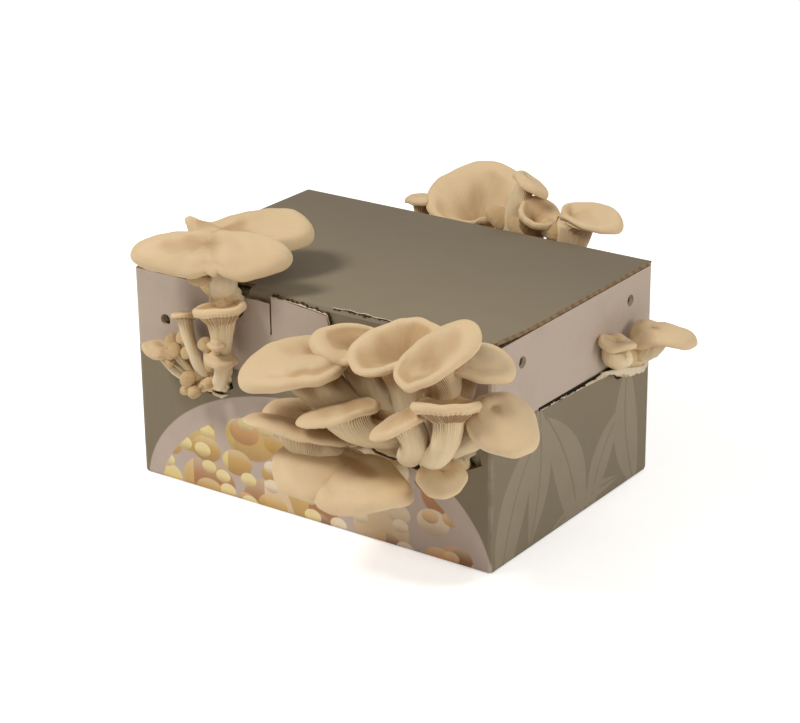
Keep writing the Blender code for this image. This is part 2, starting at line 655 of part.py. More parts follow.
def main():
    for obj in list(bpy.data.objects):
        bpy.data.objects.remove(obj)
    parts = bpy.data.collections.new("oyster_mushroom_grow_kit")
    helpers = bpy.data.collections.new("cutters")
    helpers.hide_render = True
    for collection in (parts, helpers):
        bpy.context.scene.collection.children.link(collection)
    carton = build_carton(parts, helpers)
    x = LENGTH / 2 - BOARD - BLOCK_CLEARANCE
    y = DEPTH / 2 - BOARD - BLOCK_CLEARANCE
    block = box("substrate_block", (-x, BLOCK_FRONT, BOARD + GAP), (x, y, BLOCK_TOP), parts,
                edges=any_edge, radius=BLOCK_RADIUS, steps=3)
    pieces = build_clusters(parts, helpers)
    feet = [piece for piece in pieces if piece.name.endswith("_base")]
    mushrooms = [piece for piece in pieces if piece not in feet]
    paint([carton], "carton_board", (0.22, 0.17, 0.12), 0.6)
    paint([block], "substrate", (0.45, 0.36, 0.25), 0.9)
    paint(feet, "mycelium", (0.80, 0.72, 0.56), 0.8)
    paint(mushrooms, "mushroom_flesh", (0.66, 0.50, 0.31), 0.7)


if __name__ == "__main__":
    main()
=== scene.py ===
"""Looks of the oyster mushroom grow kit: fine mushrooms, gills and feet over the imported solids,
printed and torn corrugated board, and a soft studio with the camera at the usual angle.
Lengths in the tables are millimetres, and angles are degrees."""

import math

import bpy
import numpy as np
from mathutils import Matrix


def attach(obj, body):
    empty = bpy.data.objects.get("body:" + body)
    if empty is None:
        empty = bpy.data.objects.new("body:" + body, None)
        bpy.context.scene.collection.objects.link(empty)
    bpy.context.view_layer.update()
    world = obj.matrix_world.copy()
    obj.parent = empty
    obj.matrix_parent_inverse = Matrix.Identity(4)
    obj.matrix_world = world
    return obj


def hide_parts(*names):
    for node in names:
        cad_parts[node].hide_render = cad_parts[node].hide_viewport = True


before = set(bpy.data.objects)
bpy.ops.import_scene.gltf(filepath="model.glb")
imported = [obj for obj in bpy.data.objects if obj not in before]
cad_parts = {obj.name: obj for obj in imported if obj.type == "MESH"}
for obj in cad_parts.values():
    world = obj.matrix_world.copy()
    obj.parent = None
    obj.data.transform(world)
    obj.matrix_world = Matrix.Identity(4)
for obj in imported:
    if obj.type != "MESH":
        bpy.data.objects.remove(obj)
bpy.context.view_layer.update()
MM = 0.001

# Every mushroom's profile: where the top ends and where the stem begins, as shares of its length
TOP_END = 0.40
STEM_START = 0.68
CURL_START = 0.80
LIP_AT = 0.90
LIP_WIDTH = 0.07
GROOVE_AT = 0.70
GROOVE_WIDTH = 0.09

PLAIN = dict(off=0.4, crown=5, dimple=3, droop=2, roll=45, saddle=(0, 0), waves=(), lobes=(),
             ears=(), folds=(), lip=(1.2, 0, 360), thick=5, body=6, bend=(0.35, 0.3), flare=0.7,
             neck=0.3, gills=1, size="medium")

PIN = dict(off=0.1, crown=3, dimple=0, thick=3, body=2, bend=(0.2, 0.3), lip=(0.3, 0, 360), size="pin")


def mushroom(name, cap, half, faces, fans, root, grows, stem, **more):
    """One mushroom: the cap's middle, half sizes across and along, where its top faces and fans
    to as (azimuth, elevation), then the stem's root, its direction there and its two radii."""
    own = dict(PLAIN, name=name, cap=cap, half=half, faces=faces, fans=fans)
    own.update(root=root, grows=grows, stem=stem, **more)
    return own


FRONTWARD = (-90, 15)
BACKWARD = (90, 15)
RIGHTWARD = (0, 15)

LID_CLUSTER = (
    mushroom("lid_mushroom_front", (-63, -107, 174), (55, 15), (-76, 48), (-72, 0),
             (-61, -101, 143), (-90, 70), (11, 9), off=0.15, crown=3.5, dimple=0, droop=2, roll=70,
             thick=8, body=8, waves=((0.7, 6, 60),), lobes=((0.02, 7, 40),),
             ears=((-30, 35, 0.05, 1), (3, 9, 0.10, -1), (57, 15, 0.09, -1), (86, 8, -0.05, 0.3),
                   (101, 8, 0.06, -0.7), (117, 8, -0.05, 0.3), (142, 15, 0.08, -1)),
             lip=(1.0, 105, 80),
             size="large"),
    mushroom("lid_mushroom_back", (-66, -61, 177), (28, 42), (-100, 84), (40, 0),
             (-67, -97, 145), (-90, 85), (8, 8), off=0.4, crown=1, droop=5, roll=70, thick=7,
             lobes=((0.06, 3, 40),), ears=((-112, 10, 0.26, 16), (125, 38, 0.05, 7)),
             folds=((40, 0.9, 30, 0.13, 2.5), (-45, 0.6, 40, 0.4, -6)), lip=(0.9, 40, 60),
             size="large"),
)

FRONT_CLUSTER = (
    mushroom("front_mushroom_01", (24, -137, 125), (26, 36), (-84, 74), (-150, 0),
             (66, -102, 84), FRONTWARD, (14, 10), crown=12, droop=-4, roll=70, body=12, flare=0.98,
             neck=0.5, lobes=((0.06, 4, 20),), lip=(3.0, 185, 85), size="large"),
    mushroom("front_mushroom_02", (53, -120, 145), (18, 25), (-64, 72), (-150, 0),
             (78, -100, 92), FRONTWARD, (12, 9), crown=-9, saddle=(4, 30), roll=35, body=10, flare=0.98,
             neck=0.5, waves=((1.5, 3, 75),), folds=((190, 0.5, 50, 0.22, 6), (100, 0.8, 30, 0.2, 4)),
             lip=(0.8, 0, 360)),
    mushroom("front_mushroom_03", (90, -128, 154), (21, 33), (-109, 55), (-160, 0),
             (92, -102, 92), FRONTWARD, (13, 10), crown=-12, off=0, roll=35, body=10, flare=0.98,
             neck=0.5, dimple=5, lip=(1.1, 215, 80), size="large"),
    mushroom("front_mushroom_04", (130, -141, 160), (21, 29), (-114, 50), (35, 30),
             (108, -102, 92), FRONTWARD, (11, 9), crown=-2, off=0.2, roll=55, dimple=1,
             lip=(2.4, -60, 60), neck=0.45, flare=0.98, size="large"),
    mushroom("front_mushroom_05", (146, -117, 150), (17, 21), (-20, 78), (20, 0),
             (122, -102, 90), FRONTWARD, (8, 8), crown=6, body=8, flare=0.9, lip=(1.8, 0, 360)),
    mushroom("front_mushroom_06", (140, -144, 133), (22, 18), (123, 76), (-60, 0),
             (109, -108, 76), FRONTWARD, (7.5, 8.5), crown=-6, off=0.1, body=5, flare=0.45, thick=6.5,
             lip=(1.2, 0, 360)),
    mushroom("front_mushroom_07", (168, -125, 118), (23, 22), (-33, 55), (-10, -30),
             (119, -107, 83), FRONTWARD, (7, 8), crown=6, off=0.5, roll=60, lip=(0.9, 0, 360),
             body=8, flare=0.9, neck=0.35, size="large"),
    mushroom("front_mushroom_08", (60, -144, 106), (17, 26), (179, 74), (-150, 0),
             (82, -104, 84), FRONTWARD, (8, 8), crown=3, roll=30, droop=0, dimple=0, thick=5,
             body=8, flare=0.98, neck=0.55, lip=(0.25, 0, 360)),
    mushroom("front_mushroom_09", (14, -128, 90), (15, 19), (-10, 80), (-150, 0),
             (46, -100, 72), FRONTWARD, (6, 6), crown=3, roll=30, droop=0, flare=0.98, neck=0.5,
             lip=(0.3, 0, 360)),
    mushroom("front_mushroom_10", (112, -152, 115), (15, 20), (-162, 63), (-150, -20),
             (93, -108, 76), FRONTWARD, (9, 8), crown=3, droop=0, body=9, flare=0.98, neck=0.5,
             dimple=0, roll=25, thick=5, lip=(0.25, 0, 360)),
    mushroom("front_mushroom_11", (29, -144, 88), (18, 34), (54, 75), (-150, 0),
             (55, -112, 60), FRONTWARD, (11, 9), crown=3, droop=0, roll=25, body=9, flare=0.98,
             dimple=0, neck=0.5, thick=5, lip=(0.25, 0, 360), size="large"),
    mushroom("front_mushroom_12", (63, -143, 64), (48, 25), (-40, 78), (-80, -10),
             (80, -102, 56), FRONTWARD, (9, 9), off=0.5, saddle=(5, 0), thick=6, body=7,
             waves=((2, 5, 0),), ears=((72, 7, -0.10, -1),),
             folds=((75, 0.6, 26, 0.4, -2.2), (130, 0.7, 40, 0.35, 2)), lip=(1.2, 140, 60),
             size="large"),
    mushroom("front_mushroom_13", (127, -130, 75), (14, 13), (-54, 63), (-60, -10),
             (118, -104, 65), FRONTWARD, (5, 5), off=0.1, body=4, bend=(0.2, 0.3), lip=(1, 0, 360)),
)

LEFT_CLUSTER = (
    mushroom("left_mushroom_01", (-55, -113, 143), (17, 13), (175, 80), (-60, 0),
             (-64, -97, 88), (-90, 40), (6, 6), crown=-8, off=0.1, body=7, flare=0.75,
             lip=(1.4, 0, 360), thick=4.5),
    mushroom("left_mushroom_02", (-85, -111, 129.5), (12, 8), (120, 72), (-150, 0),
             (-78, -98, 87), FRONTWARD, (4.5, 3.4), off=0.3, crown=1, dimple=1, droop=0, roll=25,
             neck=0.6, thick=3.5, body=6, flare=0.95, lip=(0.3, 0, 360), size="small"),
    mushroom("left_mushroom_03", (-112, -108, 99), (9, 11), (-13, 79), (-150, 0),
             (-94, -100, 80), FRONTWARD, (3, 3), crown=3, thick=4, body=4, size="small"),
    mushroom("left_mushroom_04", (-54, -114, 106), (10.5, 11), (95, 85), (-60, 0),
             (-66, -101, 82), FRONTWARD, (4.5, 4.5), off=0.2, crown=3, thick=4.5, body=6, flare=0.9,
             lip=(1.2, 0, 360)),
    mushroom("left_mushroom_05", (-52, -119, 118), (5, 4.5), (99, 86), (-60, 0),
             (-69, -97, 90), FRONTWARD, (2, 2), off=0.2, thick=3, body=2, dimple=1, crown=3,
             size="small"),
)

BACK_CLUSTER = (
    mushroom("back_mushroom_01", (-22, 129, 159), (36, 30), (-75, 60), (120, 0),
             (0, 100, 92), BACKWARD, (10, 10), off=0.75, crown=-4, dimple=5, droop=0, roll=40,
             flare=0.9, lip=(0.5, 0, 360), size="large"),
    mushroom("back_mushroom_02", (33, 119, 177), (12, 13), (41, 60), (10, 0),
             (20, 100, 94), BACKWARD, (12, 10), off=0.5, body=14, flare=0.98, neck=0.5, crown=2,
             lip=(0.4, 0, 360), gills=0.5),
    mushroom("back_mushroom_03", (44, 112, 163), (15, 15), (-30, 58), (60, 0),
             (34, 100, 86), BACKWARD, (11, 8), off=0.4, crown=-9, dimple=4, flare=0.98, neck=0.45,
             lip=(0.5, 0, 360), gills=0.4),
    mushroom("back_mushroom_04", (82, 117, 164), (17, 22), (-57, 74), (20, 0),
             (48, 100, 92), BACKWARD, (13, 11), off=0.8, body=14, flare=0.98, crown=-3, neck=0.45,
             bend=(0.2, 0.3), saddle=(3, 30), lip=(0.5, 0, 360), gills=0.3),
    mushroom("back_mushroom_05", (-60, 113, 151), (8, 12), (180, 84), (150, 0),
             (-18, 100, 88), BACKWARD, (4, 6), off=0.3, crown=2, thick=4, body=3, lip=(0.3, 0, 360),
             size="small"),
)

RIGHT_CLUSTER = (
    mushroom("right_mushroom_01", (151, 32, 116), (12, 11), (48, 82), (-60, 0),
             (142, 60, 94), RIGHTWARD, (7, 6), crown=-3, body=7, flare=0.98, neck=0.4, gills=0.25,
             lip=(0.5, 0, 360), waves=((1.5, 3, 20),)),
    mushroom("right_mushroom_02", (165, 68, 111), (15, 22), (-40, 80), (35, 0),
             (142, 76, 92), RIGHTWARD, (9, 7), saddle=(4, 30), body=8, flare=0.98, neck=0.45, gills=0.3,
             lip=(0.6, 0, 360), folds=((150, 0.8, 30, 0.25, -3),)),
)


# Small growths fused to each foot, in the same terms as the mushrooms
FAN = dict(off=0.2, crown=2, dimple=0, thick=4, body=9, roll=30, neck=0.5, flare=0.95,
           lip=(0.3, 0, 360), size="small")
PINS = {
    "lid_cluster_base": (
        mushroom("lid_pin_1", (-72, -113, 158), (8, 6), (-60, 70), (-90, 0),
                 (-66, -100, 146), FRONTWARD, (4, 5), **PIN),
    ),
    "front_cluster_base": (
        mushroom("front_pin_1", (69, -113, 105), (5, 5), (-110, 43), (-70, -40),
                 (74, -99, 91), (-110, 43), (3, 3), **PIN),
        mushroom("front_pin_2", (60, -113, 93), (5, 6), (-120, 34), (-70, -40),
                 (68, -99, 82), (-120, 34), (3, 4), **PIN),
        mushroom("front_pin_3", (76, -112, 108), (7, 4), (-100, 60), (-70, -40),
                 (80, -99, 92), (-110, 43), (3, 4), **PIN),
        mushroom("front_pin_4", (73, -116, 99), (8, 4), (-100, 60), (-70, -40),
                 (78, -101, 90), (-110, 43), (3, 4), **PIN),
        mushroom("front_pin_5", (123, -113, 90), (8, 5), (-80, 60), (-60, -30),
                 (112, -101, 82), (-80, 40), (4, 5), **PIN),
    ),
    "left_cluster_base": (
        mushroom("left_pin_1", (-100, -108, 107), (4, 5), (-138, 57), (-70, -30),
                 (-90, -99, 86), (-138, 57), (2, 3), **PIN),
        mushroom("left_pin_2", (-90, -108, 76), (3, 3), (-135, -28), (-70, -40),
                 (-84, -99, 80), (-135, -28), (3, 3), **PIN),
        mushroom("left_pin_3", (-99, -110, 100), (5, 3), (-130, 50), (-70, -30),
                 (-88, -99, 84), (-130, 50), (3, 3), **PIN),
        mushroom("left_pin_4", (-67, -112, 113), (6, 5), (-60, 70), (-90, -20),
                 (-74, -100, 92), FRONTWARD, (3, 4), **PIN),
        mushroom("left_pin_5", (-81, -110, 79), (4, 3), (-90, 20), (-90, -60),
                 (-79, -98, 80), FRONTWARD, (4, 5), **PIN),
        mushroom("left_pin_6", (-86, -111, 86), (5, 5), (-100, 30), (-90, -60),
                 (-84, -99, 86), FRONTWARD, (4, 5), **PIN),
        mushroom("left_pin_7", (-89, -110, 113), (4.5, 3.5), (-110, 60), (-70, -30),
                 (-82, -98, 86), FRONTWARD, (1.7, 2.6), **PIN),
        mushroom("left_pin_8", (-85, -112, 104), (3.5, 3), (-120, 50), (-70, -30),
                 (-80, -98, 84), FRONTWARD, (1.5, 2.4), **PIN),
        mushroom("left_pin_9", (-94, -113, 105), (4, 4), (-100, 55), (-70, -30),
                 (-83, -98, 82), FRONTWARD, (1.6, 2.6), **PIN),
        mushroom("left_pin_10", (-79, -112, 78), (3.5, 3), (-90, -50), (-90, -60),
                 (-77, -97, 84), FRONTWARD, (1.8, 3), **PIN),
        mushroom("left_pin_11", (-68, -111, 86), (3.5, 3), (-60, -30), (-90, -60),
                 (-72, -97, 85), FRONTWARD, (1.8, 3), **PIN),
        mushroom("left_pin_12", (-102, -109, 93), (3.5, 3), (-140, 40), (-90, -30),
                 (-88, -98, 82), FRONTWARD, (1.4, 2.4), **PIN),
    ),
    "back_cluster_base": (
        mushroom("back_pin_1", (-46, 112, 149), (4, 3), (120, 60), (90, 0),
                 (-14, 100, 92), BACKWARD, (3, 4), **PIN),
        mushroom("back_fan_1", (11, 110, 151), (12, 6), (-70, 40), (90, 0),
                 (12, 100, 92), BACKWARD, (10, 9), **FAN),
        mushroom("back_fan_2", (54, 111, 151), (12, 7), (-70, 45), (90, 0),
                 (36, 100, 90), BACKWARD, (10, 8), **FAN),
        mushroom("back_fan_3", (30, 108, 150), (12, 7), (-70, 40), (90, 0),
                 (26, 100, 90), BACKWARD, (9, 8), **FAN),
    ),
    "right_cluster_base": (
        mushroom("right_pin_1", (150, 52, 99), (5, 6), (-20, 40), (0, -40),
                 (141, 58, 93), RIGHTWARD, (4, 5), **PIN),
        mushroom("right_pin_2", (150, 81, 95), (6, 6), (10, 40), (0, -40),
                 (141, 76, 90), RIGHTWARD, (4, 5), **PIN),
    ),
}

# Where each foot is, as in the solids: middle, half sizes, the axis it is cut on and where
BASES = {
    "lid_cluster_base": ((-62, -97, 141), (13, 10, 9), (1, -88.5)),
    "front_cluster_base": ((84, -94, 79), (44, 10, 19), (1, -88.5)),
    "left_cluster_base": ((-80, -94, 83), (18, 8, 11), (1, -88.5)),
    "back_cluster_base": ((16, 97, 89), (44, 8, 12), (1, 91.8)),
    "right_cluster_base": ((141, 66, 88), (8, 18, 9), (0, 135.8)),
}

# Fineness of a mushroom by its size: columns round it, then rows on top, underneath, on the stem
FINENESS = {"large": (360, 22, 16, 34), "medium": (264, 18, 14, 30), "small": (144, 14, 10, 22),
            "pin": (48, 10, 6, 14)}
GILLS = {"large": 60, "medium": 38, "small": 24, "pin": 0}
GILL_HEIGHT = 0.6
GILL_END = 0.30
HOLLOW_ROUNDS = 60
POLE_END = 0.06

FLUTE_PITCH = 0.0065

# The vents as (y, z) on the ends and (x, z) on the front, how far the paler board of their walls
# reaches, and how far white growth spreads behind them
SIDE_VENTS = ((-62, 130), (68, 130))
FRONT_VENT = (115, 115)
VENT_EDGE = (4.6, 4.6)
VENT_GROWTH = (9, 9)


def direction(azimuth, elevation):
    """Unit vector at an azimuth from +X towards +Y and an elevation above the ground."""
    a = math.radians(azimuth)
    e = math.radians(elevation)
    return np.array([math.cos(e) * math.cos(a), math.cos(e) * math.sin(a), math.sin(e)])


def cap_axes(own):
    """The cap's side, outward and upward unit vectors, a right-handed set."""
    up = direction(*own["faces"])
    out = direction(*own["fans"])
    out = out - up * (out @ up)
    out /= np.linalg.norm(out)
    return np.cross(out, up), out, up


def bell(theta, at, width):
    """A smooth bump of height 1 round the cap at an angle, with its half width in degrees."""
    away = (np.degrees(theta) - at + 180) % 360 - 180
    return np.exp(-((away / width) ** 2))


def outline(own, theta):
    """Distance from the stem's axis to the cap's edge: an ellipse seen from a point that lies
    off its middle, towards the back, times cosines for lobes and bells for ears or notches."""
    across, along = own["half"]
    off = own["off"]
    c = np.cos(theta)
    s = np.sin(theta)
    k = (c / across) ** 2 + (s / along) ** 2
    edge = (s * off / along + np.sqrt((s * off / along) ** 2 + k * (1 - off ** 2))) / k
    for share, count, phase in own["lobes"]:
        edge = edge * (1 + share * np.cos(count * (theta - math.radians(phase))))
    for at, width, share, _ in own["ears"]:
        edge = edge * (1 + share * bell(theta, at, width))
    return edge


def cap_middle(own, r, theta):
    """Middle surface of the cap: a crown and a dimple that fade outwards, a drooping edge,
    a saddle, waves, folds, and a margin that curls along an arc."""
    side, out, up = cap_axes(own)
    edge = outline(own, theta)
    curl = math.radians(own["roll"]) or 0.01
    past = np.clip((r - CURL_START) / (1 - CURL_START), 0, 1)
    rolled = (1 - CURL_START) * edge / curl
    reach = np.minimum(r, CURL_START) * edge + rolled * np.sin(past * curl)
    saddle, saddle_at = own["saddle"]
    height = own["crown"] * (1 - r ** 2) - own["dimple"] * np.exp(-((r / 0.35) ** 2))
    height = height - own["droop"] * r ** 4 - rolled * (1 - np.cos(past * curl))
    height = height + saddle * r ** 2 * np.cos(2 * (theta - math.radians(saddle_at)))
    for wave, count, phase in own["waves"]:
        height = height + wave * r ** 3 * np.cos(count * (theta - math.radians(phase)))
    for at, width, _, lift in own["ears"]:
        height = height + lift * r ** 4 * bell(theta, at, width)
    for at, place, width, spread, lift in own["folds"]:
        height = height + lift * bell(theta, at, width) * np.exp(-(((r - place) / spread) ** 2))
    start = np.array(own["cap"], float) - own["off"] * own["half"][1] * out
    flat = np.cos(theta)[..., None] * side + np.sin(theta)[..., None] * out
    return start + reach[..., None] * flat + height[..., None] * up


def cap_skin(own, r, theta, sign):
    """The cap's upper (+1) or under (-1) skin: the middle surface moved along its normal by
    half the thickness and a lip round the edge, with the flesh under the middle that runs down into
    the stem."""
    q = np.maximum(r, 0.03)
    step = 0.01
    along = cap_middle(own, q + step, theta) - cap_middle(own, q - step, theta)
    around = cap_middle(own, q, theta + step) - cap_middle(own, q, theta - step)
    normal = np.cross(along, around)
    normal /= np.linalg.norm(normal, axis=-1, keepdims=True)
    up = cap_axes(own)[2]
    normal = up + (normal - up) * (r / q)[..., None]
    half = own["thick"] / 2 * np.sqrt(np.maximum(1 - r ** 8, 0))
    height, at, width = own["lip"]
    groove = np.exp(-(((r - GROOVE_AT) / GROOVE_WIDTH) ** 2))
    swell = np.exp(-(((r - LIP_AT) / LIP_WIDTH) ** 2)) - 0.5 * groove
    half = half + height * bell(theta, at, width) * swell * np.sqrt(np.maximum(1 - r ** 8, 0))
    if sign < 0:
        half = half + own["body"] * (1 - r) ** 2
    return cap_middle(own, r, theta) + sign * half[..., None] * normal


def stem_skin(own, w, theta):
    """The stem: a ring that turns with a cubic path from the cap's underside to the root, and
    starts as the cap's neck, which fades into it down the flared part."""
    side, out, up = cap_axes(own)
    neck = np.full_like(theta, own["neck"])
    sunk = own["crown"] * (1 - own["neck"] ** 2) - own["dimple"] * math.exp(-((own["neck"] / 0.35) ** 2))
    sunk -= own["thick"] / 2 + own["body"] * (1 - own["neck"]) ** 2
    p0 = np.array(own["cap"], float) - own["off"] * own["half"][1] * out + sunk * up
    p3 = np.array(own["root"], float)
    span = np.linalg.norm(p3 - p0)
    p1 = p0 - own["bend"][0] * span * up
    p2 = p3 + own["bend"][1] * span * direction(*own["grows"])
    t = w[..., None]
    path = (1 - t) ** 3 * p0 + 3 * (1 - t) ** 2 * t * p1 + 3 * (1 - t) * t ** 2 * p2 + t ** 3 * p3
    run = (1 - t) ** 2 * (p1 - p0) + 2 * (1 - t) * t * (p2 - p1) + t ** 2 * (p3 - p2)
    run /= np.linalg.norm(run, axis=-1, keepdims=True)
    flat = np.cos(theta)[..., None] * side + np.sin(theta)[..., None] * out
    axis = np.cross(np.broadcast_to(-up, run.shape), run)
    turned = flat + np.cross(axis, flat)
    turned += np.cross(axis, np.cross(axis, flat)) / (1 + run @ -up)[..., None]
    top, root = own["stem"]
    radius = (top + (root - top) * w) * np.sqrt(np.maximum(1 - w ** 10, 0))
    fade = np.maximum(1 - w / own["flare"], 0) ** 1.8
    ring = cap_skin(own, neck, theta, -1) - p0 - top * flat
    return path + radius[..., None] * turned + fade[..., None] * ring


def mushroom_skin(own, v, theta):
    """A point of the whole skin: v runs from the cap's middle (0) over its edge to the root (1)
    and theta runs round it."""
    top_r = np.sin(math.pi / 2 * np.clip(v / TOP_END, 0, 1))
    back = np.clip((v - TOP_END) / (STEM_START - TOP_END), 0, 1)
    under_r = own["neck"] + (1 - own["neck"]) * np.cos(math.pi / 2 * back)
    w = np.clip((v - STEM_START) / (1 - STEM_START), 0, 1)
    top = cap_skin(own, top_r, theta, 1)
    under = cap_skin(own, under_r, theta, -1)
    stem = stem_skin(own, w, theta)
    on_top = (v <= TOP_END)[..., None]
    on_stem = (v > STEM_START)[..., None]
    return np.where(on_top, top, np.where(on_stem, stem, under))


def base_skin(middle, half, along):
    """A lumpy foot: an ellipsoid whose radius swells and shrinks with the direction from its
    middle; along holds unit vectors."""
    x, y, z = along[..., 0], along[..., 1], along[..., 2]
    lumps = 0.05 * np.sin(5 * x + 1) * np.cos(4 * z) + 0.04 * np.sin(7 * z + 3 * y)
    return np.array(middle, float) + along * np.array(half, float) * (1 + lumps)[..., None]


def warp(points, amount=1.0):
    """The points moved by slow sines of their own place, so that nothing stays quite regular."""
    x, y, z = points[..., 0], points[..., 1], points[..., 2]
    slow = np.stack([np.sin(z / 11 + y / 17), np.sin(x / 13 + z / 9 + 2), np.sin(x / 10 - y / 12 + 4)], -1)
    quick = np.stack([np.sin(z / 2.9 + x / 3.7), np.sin(x / 3.1 + 1), np.sin(y / 2.7 + x / 3.3)], -1)
    return points + amount * (0.9 * slow + 0.16 * quick)


def with_life(own):
    """The mushroom with a few more lobes and waves on its rim, their phases taken from its name."""
    seed = sum((k + 3) * ord(letter) for k, letter in enumerate(own["name"])) % 360
    small = min(own["half"])
    waves = (*own["waves"], (0.035 * small, 3, seed), (0.02 * small, 5, 2 * seed))
    lobes = (*own["lobes"], (0.025, 4, 3 * seed), (0.014, 9, 5 * seed))
    return dict(own, waves=waves, lobes=lobes)


def gilled(own, v, theta, skin):
    """The skin with gills: sharp ridges that stand out underneath, fade towards the rim and run
    a little way down the stem. The ridge's height is one less the size of a sine round the cap."""
    count = GILLS[own["size"]]
    if not count:
        return skin
    ridge = 1 - np.abs(np.sin(count * theta / 2))
    back = np.clip((v - TOP_END) / (STEM_START - TOP_END), 0, 1)
    down = np.clip((v - STEM_START) / (1 - STEM_START) / GILL_END, 0, 1)
    height = own["gills"] * GILL_HEIGHT * np.clip(back * 4, 0, 1) * (1 - down) ** 1.5 * ridge
    along = np.gradient(skin, axis=0)
    around = np.roll(skin, -1, 1) - np.roll(skin, 1, 1)
    normal = np.cross(along, around)
    normal /= np.maximum(np.linalg.norm(normal, axis=-1, keepdims=True), 1e-9)
    return skin + height[..., None] * normal


def hollows(skin):
    """How far each point lies below its surroundings, in millimetres along the skin's normal: the
    grid is averaged with its neighbours many times over, and the step to that average is taken."""
    along = np.gradient(skin, axis=0)
    around = np.roll(skin, -1, 1) - np.roll(skin, 1, 1)
    normal = np.cross(along, around)
    normal /= np.maximum(np.linalg.norm(normal, axis=-1, keepdims=True), 1e-9)
    smooth = skin
    for _ in range(HOLLOW_ROUNDS):
        smooth = (np.roll(smooth, 1, 1) + 2 * smooth + np.roll(smooth, -1, 1)) / 4
        ends = np.concatenate([smooth[:1], smooth, smooth[-1:]])
        smooth = (ends[:-2] + 2 * smooth + ends[2:]) / 4
    return ((smooth - skin) * normal).sum(-1)


def mesh_object(name, points, quads, attributes):
    """A mesh object in metres from points in millimetres, four-cornered faces and four numbers
    for each point: its place on its own skin and how hollow it lies there. A face that repeats
    a corner becomes a triangle."""
    triangle = quads[:, 2] == quads[:, 3]
    corners = np.concatenate([quads[~triangle].ravel(), quads[triangle][:, :3].ravel()])
    sizes = np.concatenate([np.full((~triangle).sum(), 4), np.full(triangle.sum(), 3)])
    mesh = bpy.data.meshes.new(name)
    mesh.vertices.add(len(points))
    mesh.vertices.foreach_set("co", (points * MM).astype(np.float32).ravel())
    mesh.loops.add(len(corners))
    mesh.loops.foreach_set("vertex_index", corners.astype(np.int32))
    mesh.polygons.add(len(sizes))
    mesh.polygons.foreach_set("loop_start", np.concatenate([[0], np.cumsum(sizes)[:-1]]).astype(np.int32))
    mesh.update(calc_edges=True)
    mesh.validate()
    mesh.polygons.foreach_set("use_smooth", np.ones(len(sizes), bool))
    skin = mesh.attributes.new("skin", "FLOAT_VECTOR", "POINT")
    skin.data.foreach_set("vector", attributes[:, :3].astype(np.float32).ravel())
    hollow = mesh.attributes.new("hollow", "FLOAT", "POINT")
    hollow.data.foreach_set("value", attributes[:, 3].astype(np.float32).ravel())
    obj = bpy.data.objects.new(name, mesh)
    bpy.context.scene.collection.objects.link(obj)
    return obj


def closed_grid(skin, place):
    """Points, faces and places of a grid that closes round its columns and ends in two poles."""
    rows, columns = skin.shape[:2]
    points = np.concatenate([[skin[0].mean(0)], skin[1:-1].reshape(-1, 3), [skin[-1].mean(0)]])
    places = np.concatenate([[place[0].mean(0)], place[1:-1].reshape(-1, 4), [place[-1].mean(0)]])
    index = np.arange((rows - 2) * columns).reshape(rows - 2, columns) + 1
    after = np.roll(index, -1, 1)
    body = np.stack([index[:-1], index[1:], after[1:], after[:-1]], -1).reshape(-1, 4)
    last = len(points) - 1
    top = np.stack([np.zeros(columns, int), index[0], after[0], after[0]], -1)
    bottom = np.stack([index[-1], np.full(columns, last), after[-1], after[-1]], -1)
    return points, np.concatenate([body, top, bottom]), places


def fine_mushroom(own):
    """Points, faces and places of one mushroom's skin, with gills and a slow warp."""
    columns, *counts = FINENESS[own["size"]]
    top = TOP_END * np.linspace(0, 1, counts[0] + 1)
    under = np.linspace(TOP_END, STEM_START, counts[1] + 1)[1:]
    stem = STEM_START + (1 - STEM_START) * np.sin(math.pi / 2 * np.linspace(0, 1, counts[2] + 1)[1:])
    v, theta = np.meshgrid(np.concatenate([top, under, stem]), 2 * math.pi * np.arange(columns) / columns,
                           indexing="ij")
    skin = gilled(own, v, theta, mushroom_skin(with_life(own), v, theta))
    skin = warp(skin)
    hollow = hollows(skin) * np.clip(v / POLE_END, 0, 1)
    return closed_grid(skin, np.stack([np.cos(theta), np.sin(theta), v, hollow], -1))


def fine_base(name):
    """Points, faces and places of a cluster's foot: the solid's lumpy ellipsoid with smaller
    lumps added, and its small growths beside it in the same mesh."""
    middle, half, (axis, limit) = BASES[name]
    rows, columns = 60, 120
    v, theta = np.meshgrid(np.linspace(0, 1, rows + 1), 2 * math.pi * np.arange(columns) / columns,
                           indexing="ij")
    along = np.stack([np.sin(math.pi * v) * np.cos(theta), np.sin(math.pi * v) * np.sin(theta),
                      np.cos(math.pi * v)], -1)
    skin = base_skin(middle, half, along)
    x, y, z = skin[..., 0], skin[..., 1], skin[..., 2]
    knobs = np.sin(x / 2.6 + 1) * np.sin(z / 2.2) + 0.5 * np.sin(x / 1.3) * np.sin(z / 1.1 + y)
    skin = skin + 0.9 * knobs[..., None] * along
    if middle[axis] > limit:
        skin[..., axis] = np.maximum(skin[..., axis], limit)
    else:
        skin[..., axis] = np.minimum(skin[..., axis], limit)
    place = np.stack([np.cos(theta), np.sin(theta), 0.9 + 0.1 * v, hollows(skin)], -1)
    shells = [closed_grid(skin, place)]
    shells += [fine_mushroom(own) for own in PINS[name]]
    starts = np.cumsum([0] + [len(shell[0]) for shell in shells[:-1]])
    points = np.concatenate([shell[0] for shell in shells])
    quads = np.concatenate([shell[1] + start for shell, start in zip(shells, starts)])
    return points, quads, np.concatenate([shell[2] for shell in shells])


# Materials


def rgb(red, green, blue):
    """A linear colour from one in the usual 0 to 255 screen values."""
    parts = np.array([red, green, blue]) / 255
    return (*np.where(parts <= 0.04045, parts / 12.92, ((parts + 0.055) / 1.055) ** 2.4), 1)


